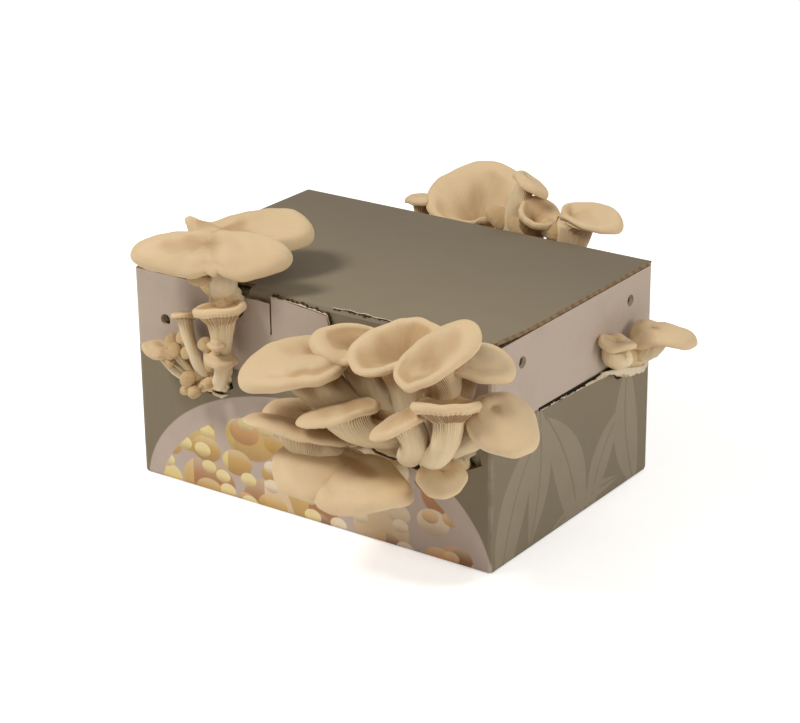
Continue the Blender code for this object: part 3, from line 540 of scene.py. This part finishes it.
def node(tree, kind, *values, **settings):
    """A shader node whose inputs, in order, are set to values or joined to other sockets."""
    made = tree.nodes.new("ShaderNode" + kind)
    for key, value in settings.items():
        setattr(made, key, value)
    for socket, value in zip(made.inputs, values):
        join(tree, value, socket)
    return made


def join(tree, value, socket):
    """Sets a socket to a value, or links another socket to it."""
    if isinstance(value, bpy.types.NodeSocket):
        tree.links.new(value, socket)
    elif value is not None:
        socket.default_value = value


def sums(tree, operation, *values):
    """A Math node's result."""
    return node(tree, "Math", *values, operation=operation).outputs[0]


def step(tree, value, low, high):
    """0 below low, 1 above high, smooth between them."""
    made = node(tree, "MapRange", value, low, high, 0.0, 1.0, interpolation_type="SMOOTHSTEP")
    return made.outputs[0]


def noise(tree, vector, scale, detail=3.0, rough=0.5):
    """Noise about 0.5 at a number of lumps to the metre."""
    made = node(tree, "TexNoise", vector, noise_dimensions="3D")
    made.inputs["Scale"].default_value = scale
    made.inputs["Detail"].default_value = detail
    made.inputs["Roughness"].default_value = rough
    return made.outputs["Fac"]


def blend(tree, share, first, second, kind="MIX"):
    """A mix of two colours."""
    made = node(tree, "Mix", data_type="RGBA", blend_type=kind)
    join(tree, share, made.inputs[0])
    join(tree, first, made.inputs[6])
    join(tree, second, made.inputs[7])
    return made.outputs[2]


def ramp(tree, value, stops, kind="EASE"):
    """A colour ramp of (place, colour) stops."""
    made = node(tree, "ValToRGB", value)
    made.color_ramp.interpolation = kind
    while len(made.color_ramp.elements) < len(stops):
        made.color_ramp.elements.new(0.5)
    for element, (place, colour) in zip(made.color_ramp.elements, stops):
        element.position = place
        element.color = colour
    return made.outputs[0]


def finish_material(tree, colour, roughness, height, distance, **constants):
    """The Principled shader with colour, roughness and a bump, and constants on its own sockets."""
    shader = tree.nodes["Principled BSDF"]
    join(tree, colour, shader.inputs["Base Color"])
    join(tree, roughness, shader.inputs["Roughness"])
    bump = node(tree, "Bump")
    bump.inputs["Distance"].default_value = distance
    join(tree, height, bump.inputs["Height"])
    tree.links.new(bump.outputs[0], shader.inputs["Normal"])
    for name, value in constants.items():
        shader.inputs[name.replace("_", " ")].default_value = value


def new_material(name):
    """An empty material and its node tree."""
    material = bpy.data.materials.new(name)
    material.use_nodes = True
    return material, material.node_tree


def mottle_group():
    """Node group: a colour spotted and clouded with a second one. Large clouds and small specks of
    noise make one mask, whose strength is an input."""
    group = bpy.data.node_groups.new("mottle", "ShaderNodeTree")
    face = group.interface
    face.new_socket("Vector", in_out="INPUT", socket_type="NodeSocketVector")
    face.new_socket("Colour", in_out="INPUT", socket_type="NodeSocketColor")
    face.new_socket("Spot", in_out="INPUT", socket_type="NodeSocketColor")
    face.new_socket("Strength", in_out="INPUT", socket_type="NodeSocketFloat")
    face.new_socket("Colour", in_out="OUTPUT", socket_type="NodeSocketColor")
    face.new_socket("Mask", in_out="OUTPUT", socket_type="NodeSocketFloat")
    inside = group.nodes.new("NodeGroupInput")
    outside = group.nodes.new("NodeGroupOutput")
    clouds = step(group, noise(group, inside.outputs[0], 45.0, 4.0), 0.42, 0.68)
    specks = step(group, noise(group, inside.outputs[0], 420.0, 2.0), 0.55, 0.75)
    mask = sums(group, "ADD", sums(group, "MULTIPLY", clouds, 0.7), sums(group, "MULTIPLY", specks, 0.3))
    share = sums(group, "MULTIPLY", mask, inside.outputs[3])
    group.links.new(blend(group, share, inside.outputs[1], inside.outputs[2]), outside.inputs[0])
    group.links.new(mask, outside.inputs[1])
    return group


MOTTLE = mottle_group()


def mottled(tree, vector, colour, spot, strength):
    """The mottle group's colour and mask."""
    made = tree.nodes.new("ShaderNodeGroup")
    made.node_tree = MOTTLE
    for socket, value in zip(made.inputs, (vector, colour, spot, strength)):
        join(tree, value, socket)
    return made.outputs[0], made.outputs[1]


def flesh_material():
    """Mushroom flesh: tan on the cap's middle, paler at its rolled rim, cream gills and a stem that
    whitens to its foot, with faint radial streaks, mottling and fine pores, painted shade that
    browns its hollows and painted highlight that pales its ridges."""
    material, tree = new_material("mushroom_flesh_fine")
    place = node(tree, "Attribute", attribute_name="skin").outputs["Vector"]
    where = node(tree, "TexCoord").outputs["Object"]
    down = node(tree, "SeparateXYZ", place).outputs[2]
    hollow = node(tree, "Attribute", attribute_name="hollow").outputs["Fac"]
    jitter = sums(tree, "MULTIPLY_ADD", noise(tree, where, 60.0), 0.08, -0.04)
    colour = ramp(tree, sums(tree, "ADD", down, jitter), (
        (0.0, rgb(196, 163, 120)), (0.18, rgb(203, 170, 126)), (0.31, rgb(211, 179, 135)),
        (0.40, rgb(222, 194, 151)), (0.47, rgb(210, 179, 134)), (0.64, rgb(220, 193, 152)),
        (0.78, rgb(236, 215, 177)), (0.93, rgb(250, 240, 216))), "LINEAR")
    stretched = node(tree, "VectorMath", place, (9.0, 9.0, 2.0), operation="MULTIPLY").outputs[0]
    streak = noise(tree, stretched, 1.0, 5.0, 0.6)
    colour = blend(tree, sums(tree, "MULTIPLY", step(tree, streak, 0.4, 0.75), 0.22),
                   colour, rgb(178, 148, 108))
    colour, _ = mottled(tree, where, colour, rgb(184, 150, 108), 0.28)
    # Painted shade: the skin browns where it lies hollow
    painted_hollow_shade = sums(tree, "MULTIPLY", step(tree, hollow, 0.1, 1.5), 0.8)
    colour = blend(tree, painted_hollow_shade, colour, rgb(140, 101, 60))
    # Painted highlight: the skin pales where it stands out as a ridge
    ridge = sums(tree, "MULTIPLY", step(tree, hollow, -0.1, -1.2), 0.5)
    colour = blend(tree, ridge, colour, rgb(238, 216, 178))
    pores = noise(tree, where, 1500.0, 2.0)
    height = sums(tree, "MULTIPLY_ADD", streak, 0.6, sums(tree, "MULTIPLY", pores, 0.35))
    roughness = sums(tree, "MULTIPLY_ADD", noise(tree, where, 90.0), 0.25, 0.42)
    finish_material(tree, colour, roughness, height, 0.0006, Specular_IOR_Level=0.35,
                    Subsurface_Weight=0.12, Subsurface_Scale=0.004)
    return material


def foot_material():
    """Cream feet of the clusters: felted white mycelium with browned hollows."""
    material, tree = new_material("mycelium_fine")
    where = node(tree, "TexCoord").outputs["Object"]
    place = node(tree, "Attribute", attribute_name="skin").outputs["Vector"]
    down = node(tree, "SeparateXYZ", place).outputs[2]
    colour = ramp(tree, down, ((0.0, rgb(212, 180, 134)), (0.4, rgb(230, 202, 158)),
                               (0.9, rgb(240, 218, 176))), "LINEAR")
    colour, mask = mottled(tree, where, colour, rgb(180, 142, 96), 0.35)
    fuzz = noise(tree, where, 900.0, 5.0, 0.7)
    height = sums(tree, "ADD", fuzz, sums(tree, "MULTIPLY", mask, -0.6))
    finish_material(tree, colour, 0.85, height, 0.001, Specular_IOR_Level=0.2)
    return material


def substrate_material():
    """Packed straw and sawdust grown through with white mycelium: short fibres lie every way
    under a patchy white felt."""
    material, tree = new_material("substrate_fine")
    where = node(tree, "TexCoord").outputs["Object"]
    long = node(tree, "VectorMath", where, (900.0, 900.0, 160.0), operation="MULTIPLY").outputs[0]
    wide = node(tree, "VectorMath", where, (150.0, 900.0, 900.0), operation="MULTIPLY").outputs[0]
    fibres = sums(tree, "MAXIMUM", noise(tree, long, 1.0, 3.0), noise(tree, wide, 1.0, 3.0))
    colour = ramp(tree, fibres, ((0.45, rgb(110, 78, 46)), (0.62, rgb(176, 140, 92)),
                                 (0.8, rgb(206, 178, 132))))
    felt = step(tree, noise(tree, where, 70.0, 5.0, 0.65), 0.38, 0.55)
    x, y, z = node(tree, "SeparateXYZ", where).outputs
    vents = [disc(tree, y, z, middle, VENT_GROWTH) for middle in SIDE_VENTS]
    vents.append(disc(tree, sums(tree, "ABSOLUTE", x), z, FRONT_VENT, VENT_GROWTH))
    colour = blend(tree, either(tree, felt, *vents), colour, rgb(238, 228, 206))
    finish_material(tree, colour, 0.9, fibres, 0.0012, Specular_IOR_Level=0.2)
    return material


def above(tree, value, limit):
    """1 where a value is over the limit, 0 elsewhere."""
    return sums(tree, "GREATER_THAN", value, limit)


def below(tree, value, limit):
    """1 where a value is under the limit, 0 elsewhere."""
    return sums(tree, "LESS_THAN", value, limit)


def both(tree, *masks):
    """1 where every mask is 1: their product."""
    whole = masks[0]
    for mask in masks[1:]:
        whole = sums(tree, "MULTIPLY", whole, mask)
    return whole


def either(tree, *masks):
    """1 where any mask is 1: the largest of them."""
    whole = masks[0]
    for mask in masks[1:]:
        whole = sums(tree, "MAXIMUM", whole, mask)
    return whole


def without(tree, mask):
    """1 where a mask is 0."""
    return sums(tree, "SUBTRACT", 1.0, mask)


def disc(tree, u, v, middle, size):
    """1 inside an ellipse on a printed face, 0 outside, with a thin soft edge. middle and size are
    in millimetres."""
    du = sums(tree, "DIVIDE", sums(tree, "SUBTRACT", u, middle[0] * MM), size[0] * MM)
    dv = sums(tree, "DIVIDE", sums(tree, "SUBTRACT", v, middle[1] * MM), size[1] * MM)
    square = sums(tree, "MULTIPLY_ADD", du, du, sums(tree, "MULTIPLY", dv, dv))
    return step(tree, sums(tree, "SQRT", square), 1.006, 0.994)


def leaf(tree, u, v, middle, length, width, turn, bow):
    """1 inside a pointed leaf on a printed face, 0 outside and along its midrib. Its half width
    falls towards the tips as one less the square of the way there, and its midrib bows by the same
    square. Sizes are in millimetres, and the turn is in degrees."""
    cosine = math.cos(math.radians(turn))
    sine = math.sin(math.radians(turn))
    du = sums(tree, "SUBTRACT", u, middle[0] * MM)
    dv = sums(tree, "SUBTRACT", v, middle[1] * MM)
    along = sums(tree, "MULTIPLY_ADD", du, cosine, sums(tree, "MULTIPLY", dv, sine))
    aside = sums(tree, "MULTIPLY_ADD", dv, cosine, sums(tree, "MULTIPLY", du, -sine))
    share = sums(tree, "DIVIDE", along, length / 2 * MM)
    square = sums(tree, "MULTIPLY", share, share)
    off_rib = sums(tree, "ABSOLUTE", sums(tree, "MULTIPLY_ADD", square, bow * MM, aside))
    room = sums(tree, "MULTIPLY_ADD", square, -width / 2 * MM, width / 2 * MM)
    inside = step(tree, sums(tree, "SUBTRACT", room, off_rib), -0.0003, 0.0003)
    return both(tree, inside, step(tree, off_rib, 0.0004, 0.0010))


# The front's pebbles, in layers: cells to the metre, seed, a pebble's reach in its cell, the share of
# cells with one, and its colours from the left of the field to the right
PEBBLES = (
    (20.0, 3.0, 0.44, 0.95, (
        (0.0, rgb(226, 196, 112)), (0.24, rgb(216, 178, 104)), (0.38, rgb(178, 122, 76)),
        (0.55, rgb(226, 198, 158)), (0.7, rgb(198, 134, 84)), (0.84, rgb(208, 138, 76)))),
    (33.0, 9.0, 0.41, 0.9, (
        (0.0, rgb(236, 212, 134)), (0.22, rgb(206, 164, 88)), (0.4, rgb(212, 160, 108)),
        (0.56, rgb(150, 104, 72)), (0.7, rgb(236, 216, 186)), (0.85, rgb(222, 164, 104)))),
    (56.0, 5.0, 0.38, 0.5, (
        (0.0, rgb(244, 226, 164)), (0.5, rgb(240, 224, 196)), (0.75, rgb(232, 190, 140)))),
)
PEBBLE_SCATTER = 0.35
PEBBLE_SQUASH = 1.35

# The end walls' leaves: middle, length, width, turn and bow
LEAVES = (
    ((-72, 34), 118, 30, 66, 12),
    ((-40, 48), 96, 24, 84, -8),
    ((-4, 36), 112, 34, 112, -10),
    ((34, 30), 84, 22, 58, 9),
    ((66, 40), 98, 30, 98, 8),
    ((14, 9), 92, 12, 6, 5),
)


def pebbles(tree, colour, x, z, field):
    """The colour with the field's pebbles over it: layers of round cells whose colours drift from
    left to right, each paler at its top and browner at its foot."""
    drift = sums(tree, "MULTIPLY_ADD", x, 2.6, 0.35)
    for scale, seed, reach, fill, tints in PEBBLES:
        flat = node(tree, "CombineXYZ", x, seed, sums(tree, "MULTIPLY", z, PEBBLE_SQUASH)).outputs[0]
        cells = node(tree, "TexVoronoi", flat, voronoi_dimensions="3D")
        cells.inputs["Scale"].default_value = scale
        cells.inputs["Randomness"].default_value = PEBBLE_SCATTER
        away = node(tree, "VectorMath", flat, cells.outputs["Position"], operation="SUBTRACT").outputs[0]
        height = node(tree, "SeparateXYZ", away).outputs[2]
        chance = node(tree, "SeparateColor", cells.outputs["Color"]).outputs
        inside = step(tree, cells.outputs["Distance"], reach + 0.02, reach - 0.02)
        mask = both(tree, inside, below(tree, chance[1], fill), field)
        place = sums(tree, "MULTIPLY_ADD", chance[0], 0.3, drift)
        tint = ramp(tree, place, tints, "CONSTANT")
        foot_shade = step(tree, height, 0.2 * reach / scale, -reach / scale)
        top_light = step(tree, height, -0.1 * reach / scale, reach / scale)
        tint = blend(tree, sums(tree, "MULTIPLY", foot_shade, 0.5), tint, rgb(142, 100, 68))
        tint = blend(tree, sums(tree, "MULTIPLY", top_light, 0.45), tint, rgb(250, 236, 206))
        colour = blend(tree, sums(tree, "MULTIPLY", mask, 0.9), colour, tint)
    return colour


def carton_material():
    """Printed corrugated board: olive lid and lower walls, a mauve band round the top, a field of
    pebbles on the front, pale leaves on the ends, and raw brown board wherever it is cut."""
    material, tree = new_material("carton_board_fine")
    coordinates = node(tree, "TexCoord")
    where = coordinates.outputs["Object"]
    x, y, z = node(tree, "SeparateXYZ", where).outputs
    upward = node(tree, "SeparateXYZ", coordinates.outputs["Normal"]).outputs[2]
    side_x = sums(tree, "ABSOLUTE", x)
    side_y = sums(tree, "ABSOLUTE", y)
    corner = sums(tree, "ADD", side_x, side_y)

    # Colour of the print on the walls: olive below, mauve above
    wobble = sums(tree, "MULTIPLY_ADD", noise(tree, where, 25.0), 0.0006, z)
    band = step(tree, wobble, 0.0929, 0.0935)
    under_band = without(tree, band)
    on_front = below(tree, y, -0.0945)
    on_end = above(tree, side_x, 0.1385)
    colour = blend(tree, band, rgb(133, 121, 99), rgb(190, 173, 158))

    # The front's field with its pebbles, which keep off its margin
    field = both(tree, disc(tree, x, z, (2, -8), (139, 90)), under_band, on_front)
    colour = blend(tree, field, colour, rgb(196, 178, 166))
    inner = disc(tree, x, z, (2, -14), (128, 82))
    colour = pebbles(tree, colour, x, z, both(tree, field, inner))

    # Tone-on-tone leaves on the end walls
    leaves = either(tree, *[leaf(tree, y, z, *shape) for shape in LEAVES])
    leaves = both(tree, leaves, on_end, under_band)
    colour = blend(tree, leaves, colour, rgb(150, 138, 117))

    # The lid's ink with painted light, a little paler towards the front, also down its fold and its tuck flap
    fade = step(tree, y, 0.096, -0.096)
    lid_ink_and_painted_light = blend(tree, fade, rgb(121, 110, 92), rgb(139, 127, 105))
    behind_flap = above(tree, y, -0.0929)
    fold = both(tree, above(tree, sums(tree, "SUBTRACT", z, y), 0.2388), behind_flap)
    flap = both(tree, below(tree, y, -0.0924), behind_flap, above(tree, z, 0.11))
    lid = either(tree, above(tree, z, 0.14955), fold, flap)
    colour = blend(tree, lid, colour, lid_ink_and_painted_light)

    # Raw board wherever the surface isn't an outer one: a browner lid edge, and flutes in it
    outer = either(tree, above(tree, side_x, 0.1397), above(tree, side_y, 0.0957),
                   above(tree, corner, 0.2336), below(tree, z, 0.0026))
    rim_top = both(tree, above(tree, upward, 0.5), below(tree, z, 0.14955))
    lid_edge = both(tree, above(tree, z, 0.1471), above(tree, side_x, 0.1396), below(tree, upward, 0.5))
    outer = both(tree, either(tree, both(tree, outer, without(tree, rim_top)), lid),
                 without(tree, lid_edge))
    flutes = node(tree, "TexWave", where, wave_type="BANDS", bands_direction="DIAGONAL")
    flutes.inputs["Scale"].default_value = 75.0
    flutes.inputs["Distortion"].default_value = 5.0
    flutes.inputs["Detail"].default_value = 3.0
    raw = blend(tree, flutes.outputs["Fac"], rgb(92, 69, 47), rgb(132, 104, 72))
    grain = noise(tree, where, 260.0, 5.0, 0.7)
    raw = blend(tree, sums(tree, "MULTIPLY", grain, 0.4), raw, rgb(186, 162, 126))
    vents = [disc(tree, y, z, middle, VENT_EDGE) for middle in SIDE_VENTS]
    vents.append(disc(tree, side_x, z, FRONT_VENT, VENT_EDGE))
    raw = blend(tree, sums(tree, "MULTIPLY", either(tree, *vents), 0.6), raw, rgb(232, 218, 192))
    colour = blend(tree, outer, raw, colour)

    # Worn board: rubbed corners and faint stains
    worn = step(tree, noise(tree, where, 60.0, 3.0), 0.35, 0.75)
    rubbed = both(tree, step(tree, corner, 0.2325, 0.2345), worn)
    colour = blend(tree, sums(tree, "MULTIPLY", rubbed, 0.3), colour, rgb(196, 182, 160))
    colour, _ = mottled(tree, where, colour, rgb(112, 98, 78), 0.10)

    # Relief: washboard over the flutes, the board's slow unevenness and its fibres
    across = node(tree, "Mix", data_type="FLOAT")
    join(tree, on_end, across.inputs[0])
    join(tree, x, across.inputs[2])
    join(tree, y, across.inputs[3])
    wash = sums(tree, "SINE", sums(tree, "MULTIPLY", across.outputs[0], 2 * math.pi / FLUTE_PITCH))
    height = sums(tree, "MULTIPLY_ADD", wash, 0.05, sums(tree, "MULTIPLY", grain, 0.12))
    height = sums(tree, "MULTIPLY_ADD", noise(tree, where, 14.0, 2.0), 2.0, height)
    roughness = sums(tree, "MULTIPLY_ADD", outer, -0.28, 0.85)
    roughness = sums(tree, "MULTIPLY_ADD", grain, 0.12, roughness)
    finish_material(tree, colour, roughness, height, 0.0006, Specular_IOR_Level=0.4)
    return material


def torn_material(name, paper, soil):
    """Torn paper of the board, and dark sheets of painted shadow: fibres of one colour clouded with another,
    rough and matt.
    """
    material, tree = new_material(name)
    where = node(tree, "TexCoord").outputs["Object"]
    colour, mask = mottled(tree, where, paper, soil, 0.55)
    fibres = noise(tree, where, 1400.0, 4.0, 0.7)
    finish_material(tree, colour, 0.9, fibres, 0.0006, Specular_IOR_Level=0.2)
    return material


# Pieces


def place_on(obj, material, slot, *nodes):
    """Gives a piece its material and its body, and hides the nodes that it stands for; the slot is not used.
    """
    obj.data.materials.append(material)
    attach(obj, "root")
    if nodes:
        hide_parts(*nodes)


def ribbon(name, path, out, widths, thick, material, slot, rough=1.0):
    """A ragged strip of torn paper or of painted shadow: a grid along a path in millimetres and across
    its width, which swells and shrinks along it with a sum of sines. out is the strip's way across."""
    path = np.array(path, float)
    lengths = np.concatenate([[0], np.cumsum(np.linalg.norm(np.diff(path, axis=0), axis=1))])
    s = np.arange(0, lengths[-1], 0.4)
    line = np.stack([np.interp(s, lengths, path[:, k]) for k in range(3)], -1)
    waves = 0.25 * np.sin(s / 1.7) + 0.2 * np.sin(s / 0.61 + 1) + 0.15 * np.sin(s / 3.9 + 2)
    ragged = 1 + rough * (waves - 0.45)
    width = np.interp(s / lengths[-1], np.linspace(0, 1, len(widths)), widths) * np.clip(ragged, 0.12, 1.2)
    t = np.linspace(0, 1, 6)
    out = np.array(out, float)
    along = np.gradient(line, axis=0)
    normal = np.cross(along, out)
    normal /= np.maximum(np.linalg.norm(normal, axis=-1, keepdims=True), 1e-9)
    skin = line[:, None] + (t * width[:, None])[..., None] * out
    skin = skin + (0.35 * np.sin(s / 2.3)[:, None] * t)[..., None] * normal[:, None]
    rows, columns = skin.shape[:2]
    index = np.arange(rows * columns).reshape(rows, columns)
    quads = np.stack([index[:-1, :-1], index[1:, :-1], index[1:, 1:], index[:-1, 1:]], -1).reshape(-1, 4)
    obj = mesh_object(name, skin.reshape(-1, 3), quads, np.zeros((rows * columns, 4)))
    solid = obj.modifiers.new("paper", "SOLIDIFY")
    solid.thickness = thick * MM
    solid.offset = 0
    place_on(obj, material, slot)
    return obj


flesh = flesh_material()
foot = foot_material()
torn = torn_material("torn_paper", rgb(232, 217, 190), rgb(146, 114, 78))
# Dark brown sheets for torn flutes and for the painted shadow of the gaps along the front top and in the fold
shade = torn_material("torn_flutes_and_gap_shadow", rgb(86, 64, 44), rgb(40, 28, 18))
# Near-black sheet of painted shadow for the side slit
gap = torn_material("slit_dark", rgb(34, 24, 15), rgb(18, 12, 8))
for cluster in (LID_CLUSTER, FRONT_CLUSTER, LEFT_CLUSTER, BACK_CLUSTER, RIGHT_CLUSTER):
    for own in cluster:
        piece = mesh_object(own["name"] + "_fine", *fine_mushroom(own))
        place_on(piece, flesh, "mushroom_flesh", own["name"])
for name in BASES:
    piece = mesh_object(name + "_fine", *fine_base(name))
    place_on(piece, foot, "mycelium", name)
for name, material in (("carton", carton_material()), ("substrate_block", substrate_material())):
    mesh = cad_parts[name].data
    mesh.materials.clear()
    mesh.materials.append(material)

TORN_TOP = ((-27, -95.4, 148.4), (-10, -95.4, 148), (8, -95.4, 146.4), (17, -95.4, 145.2), (19.6, -95.4, 139))
FOLD = ((20, -91.2, 149.4), (34, -91.0, 150), (48, -90.9, 149.8), (58, -91.1, 149.9), (72, -91.4, 149.3))
SIDE_TOP = ((140.1, -43, 93.3), (140.1, -20, 93.0), (140.1, 8, 92.4), (140.1, 31, 91.8), (140.1, 44, 92.2))
SIDE_LOW = ((140.1, -40, 90.7), (140.2, -15, 90.0), (140.3, 8, 88.9), (140.4, 31, 87.6), (140.4, 46, 86.4))
SCRAPS = (
    ("torn_side_scrap", ((140.6, 31, 92), (146, 42, 92.5), (150.5, 55, 90), (150.5, 68, 87),
                         (146, 82, 86), (141, 92.5, 86.5)), (0.05, 0, -1), (1.5, 5.5, 6, 5.5, 5, 3.5)),
    ("torn_side_fray_1", ((140.4, 12, 90.4), (142.2, 18, 91.6), (142.0, 23, 90.6)),
     (0.1, 0, -1), (0.6, 2.4, 0.6)),
    ("torn_side_fray_2", ((140.4, 25, 90.2), (142.8, 29, 92.6), (142.0, 34, 90.8)),
     (0.1, 0, -1), (0.8, 2.8, 0.8)),
    ("torn_front_scrap", ((112, -97, 80.5), (118, -98, 79), (124, -99, 79.5), (130, -98.5, 81.5)),
     (-0.1, -0.25, -1), (1.0, 5.0, 5.5, 1.0)),
    ("torn_left_tab", ((-64, -96.5, 74), (-68, -97.5, 73), (-74, -97.5, 73), (-79, -96.5, 74)),
     (0, -0.3, -1), (0.8, 2.6, 2.2, 0.6)),
)

# Dark brown strip along the torn front top: raw flutes and the painted shadow of the gap under the lid
ribbon("torn_flutes_and_gap_shadow", TORN_TOP, (0, 0.8, 0.3), (4.5, 4.8, 5.0, 4.5), 0.5, shade, "carton_board")
ribbon("torn_front_top", TORN_TOP, (0, 0.2, 1), (0.5, 0.9, 1.4, 1.6), 0.5, torn, "carton_board")
ribbon("fold_shadow", FOLD, (0, -0.75, -0.4), (1.6, 2.4, 1.8, 2.4), 0.4, shade, "carton_board")
ribbon("cracked_fold", FOLD, (0.1, -0.55, 0.5), (1.8, 2.2, 1.4, 2.4), 0.5, torn, "carton_board")
# Painted shadow in the side slit
ribbon("slit_shadow", SIDE_TOP, (0.03, 0, -1), (2.4, 3.2, 3.6, 3.8, 4.2), 0.2, gap, "carton_board", 0.5)
ribbon("torn_side_low", SIDE_LOW, (0.35, 0, 1), (0.8, 1.2, 1.5, 2.2, 3.0), 0.4, torn, "carton_board", 1.2)
for scrap, path, out, widths in SCRAPS:
    ribbon(scrap, path, out, widths, 0.6, torn, "carton_board", 0.3)


# The studio


def lamp(name, place, size, power, colour=(1, 1, 1)):
    """A soft square light that faces the carton."""
    data = bpy.data.lights.new(name, "AREA")
    data.size = size
    data.energy = power
    data.color = colour
    obj = bpy.data.objects.new(name, data)
    obj.location = place
    aim = np.array([0, 0, 0.08]) - np.array(place)
    obj.rotation_euler = bpy_direction(aim)
    bpy.context.scene.collection.objects.link(obj)


def bpy_direction(aim):
    """The turn that points a lamp's -Z axis along a direction."""
    flat = math.hypot(aim[0], aim[1])
    return (math.atan2(flat, -aim[2]), 0, math.atan2(aim[1], aim[0]) - math.pi / 2)


FLOOR_GLOW = 0.5
floor = bpy.data.objects.new("floor", bpy.data.meshes.new("floor"))
floor.data.from_pydata([(-8, -8, 0), (8, -8, 0), (8, 8, 0), (-8, 8, 0)], [], [(0, 1, 2, 3)])
bpy.context.scene.collection.objects.link(floor)
paper, paper_tree = new_material("floor_paper")
paper_place = node(paper_tree, "TexCoord").outputs["Object"]
finish_material(paper_tree, rgb(250, 250, 249), 0.8, noise(paper_tree, paper_place, 300.0), 0.0001,
                Emission_Color=(1, 1, 1, 1))
glow = sums(paper_tree, "MULTIPLY", node(paper_tree, "LightPath").outputs["Is Camera Ray"], FLOOR_GLOW)
join(paper_tree, glow, paper_tree.nodes["Principled BSDF"].inputs["Emission Strength"])
floor.data.materials.append(paper)

world = bpy.data.worlds.new("studio")
world.use_nodes = True
world.node_tree.nodes["Background"].inputs[0].default_value = (1, 0.96, 0.9, 1)
world.node_tree.nodes["Background"].inputs[1].default_value = 0.33
bpy.context.scene.world = world
bpy.context.scene.view_settings.view_transform = "Standard"
lamp("key", (-0.72, -0.89, 1.49), 0.5, 18.5, (1, 0.98, 0.95))
lamp("fill", (1.6, -0.1, 0.7), 0.8, 9, (1, 0.99, 0.97))
lamp("rim", (0.2, 1.2, 1.3), 0.8, 4)

# The camera: place and axes fitted to the carton's seven visible corners
CAMERA_PLACE = (0.8582, -1.1993, 0.6668)
CAMERA_RIGHT = (0.8172, 0.5763, -0.0107)
CAMERA_UP = (-0.2053, 0.3083, 0.9289)
CAMERA_LENS = 107.4
camera_data = bpy.data.cameras.new("camera")
camera_data.lens = CAMERA_LENS
camera = bpy.data.objects.new("camera", camera_data)
turn = np.eye(4)
turn[:3, 0] = CAMERA_RIGHT
turn[:3, 1] = CAMERA_UP
turn[:3, 2] = np.cross(CAMERA_RIGHT, CAMERA_UP)
turn[:3, 3] = CAMERA_PLACE
camera.matrix_world = Matrix(turn.tolist())
bpy.context.scene.collection.objects.link(camera)
bpy.context.scene.camera = camera
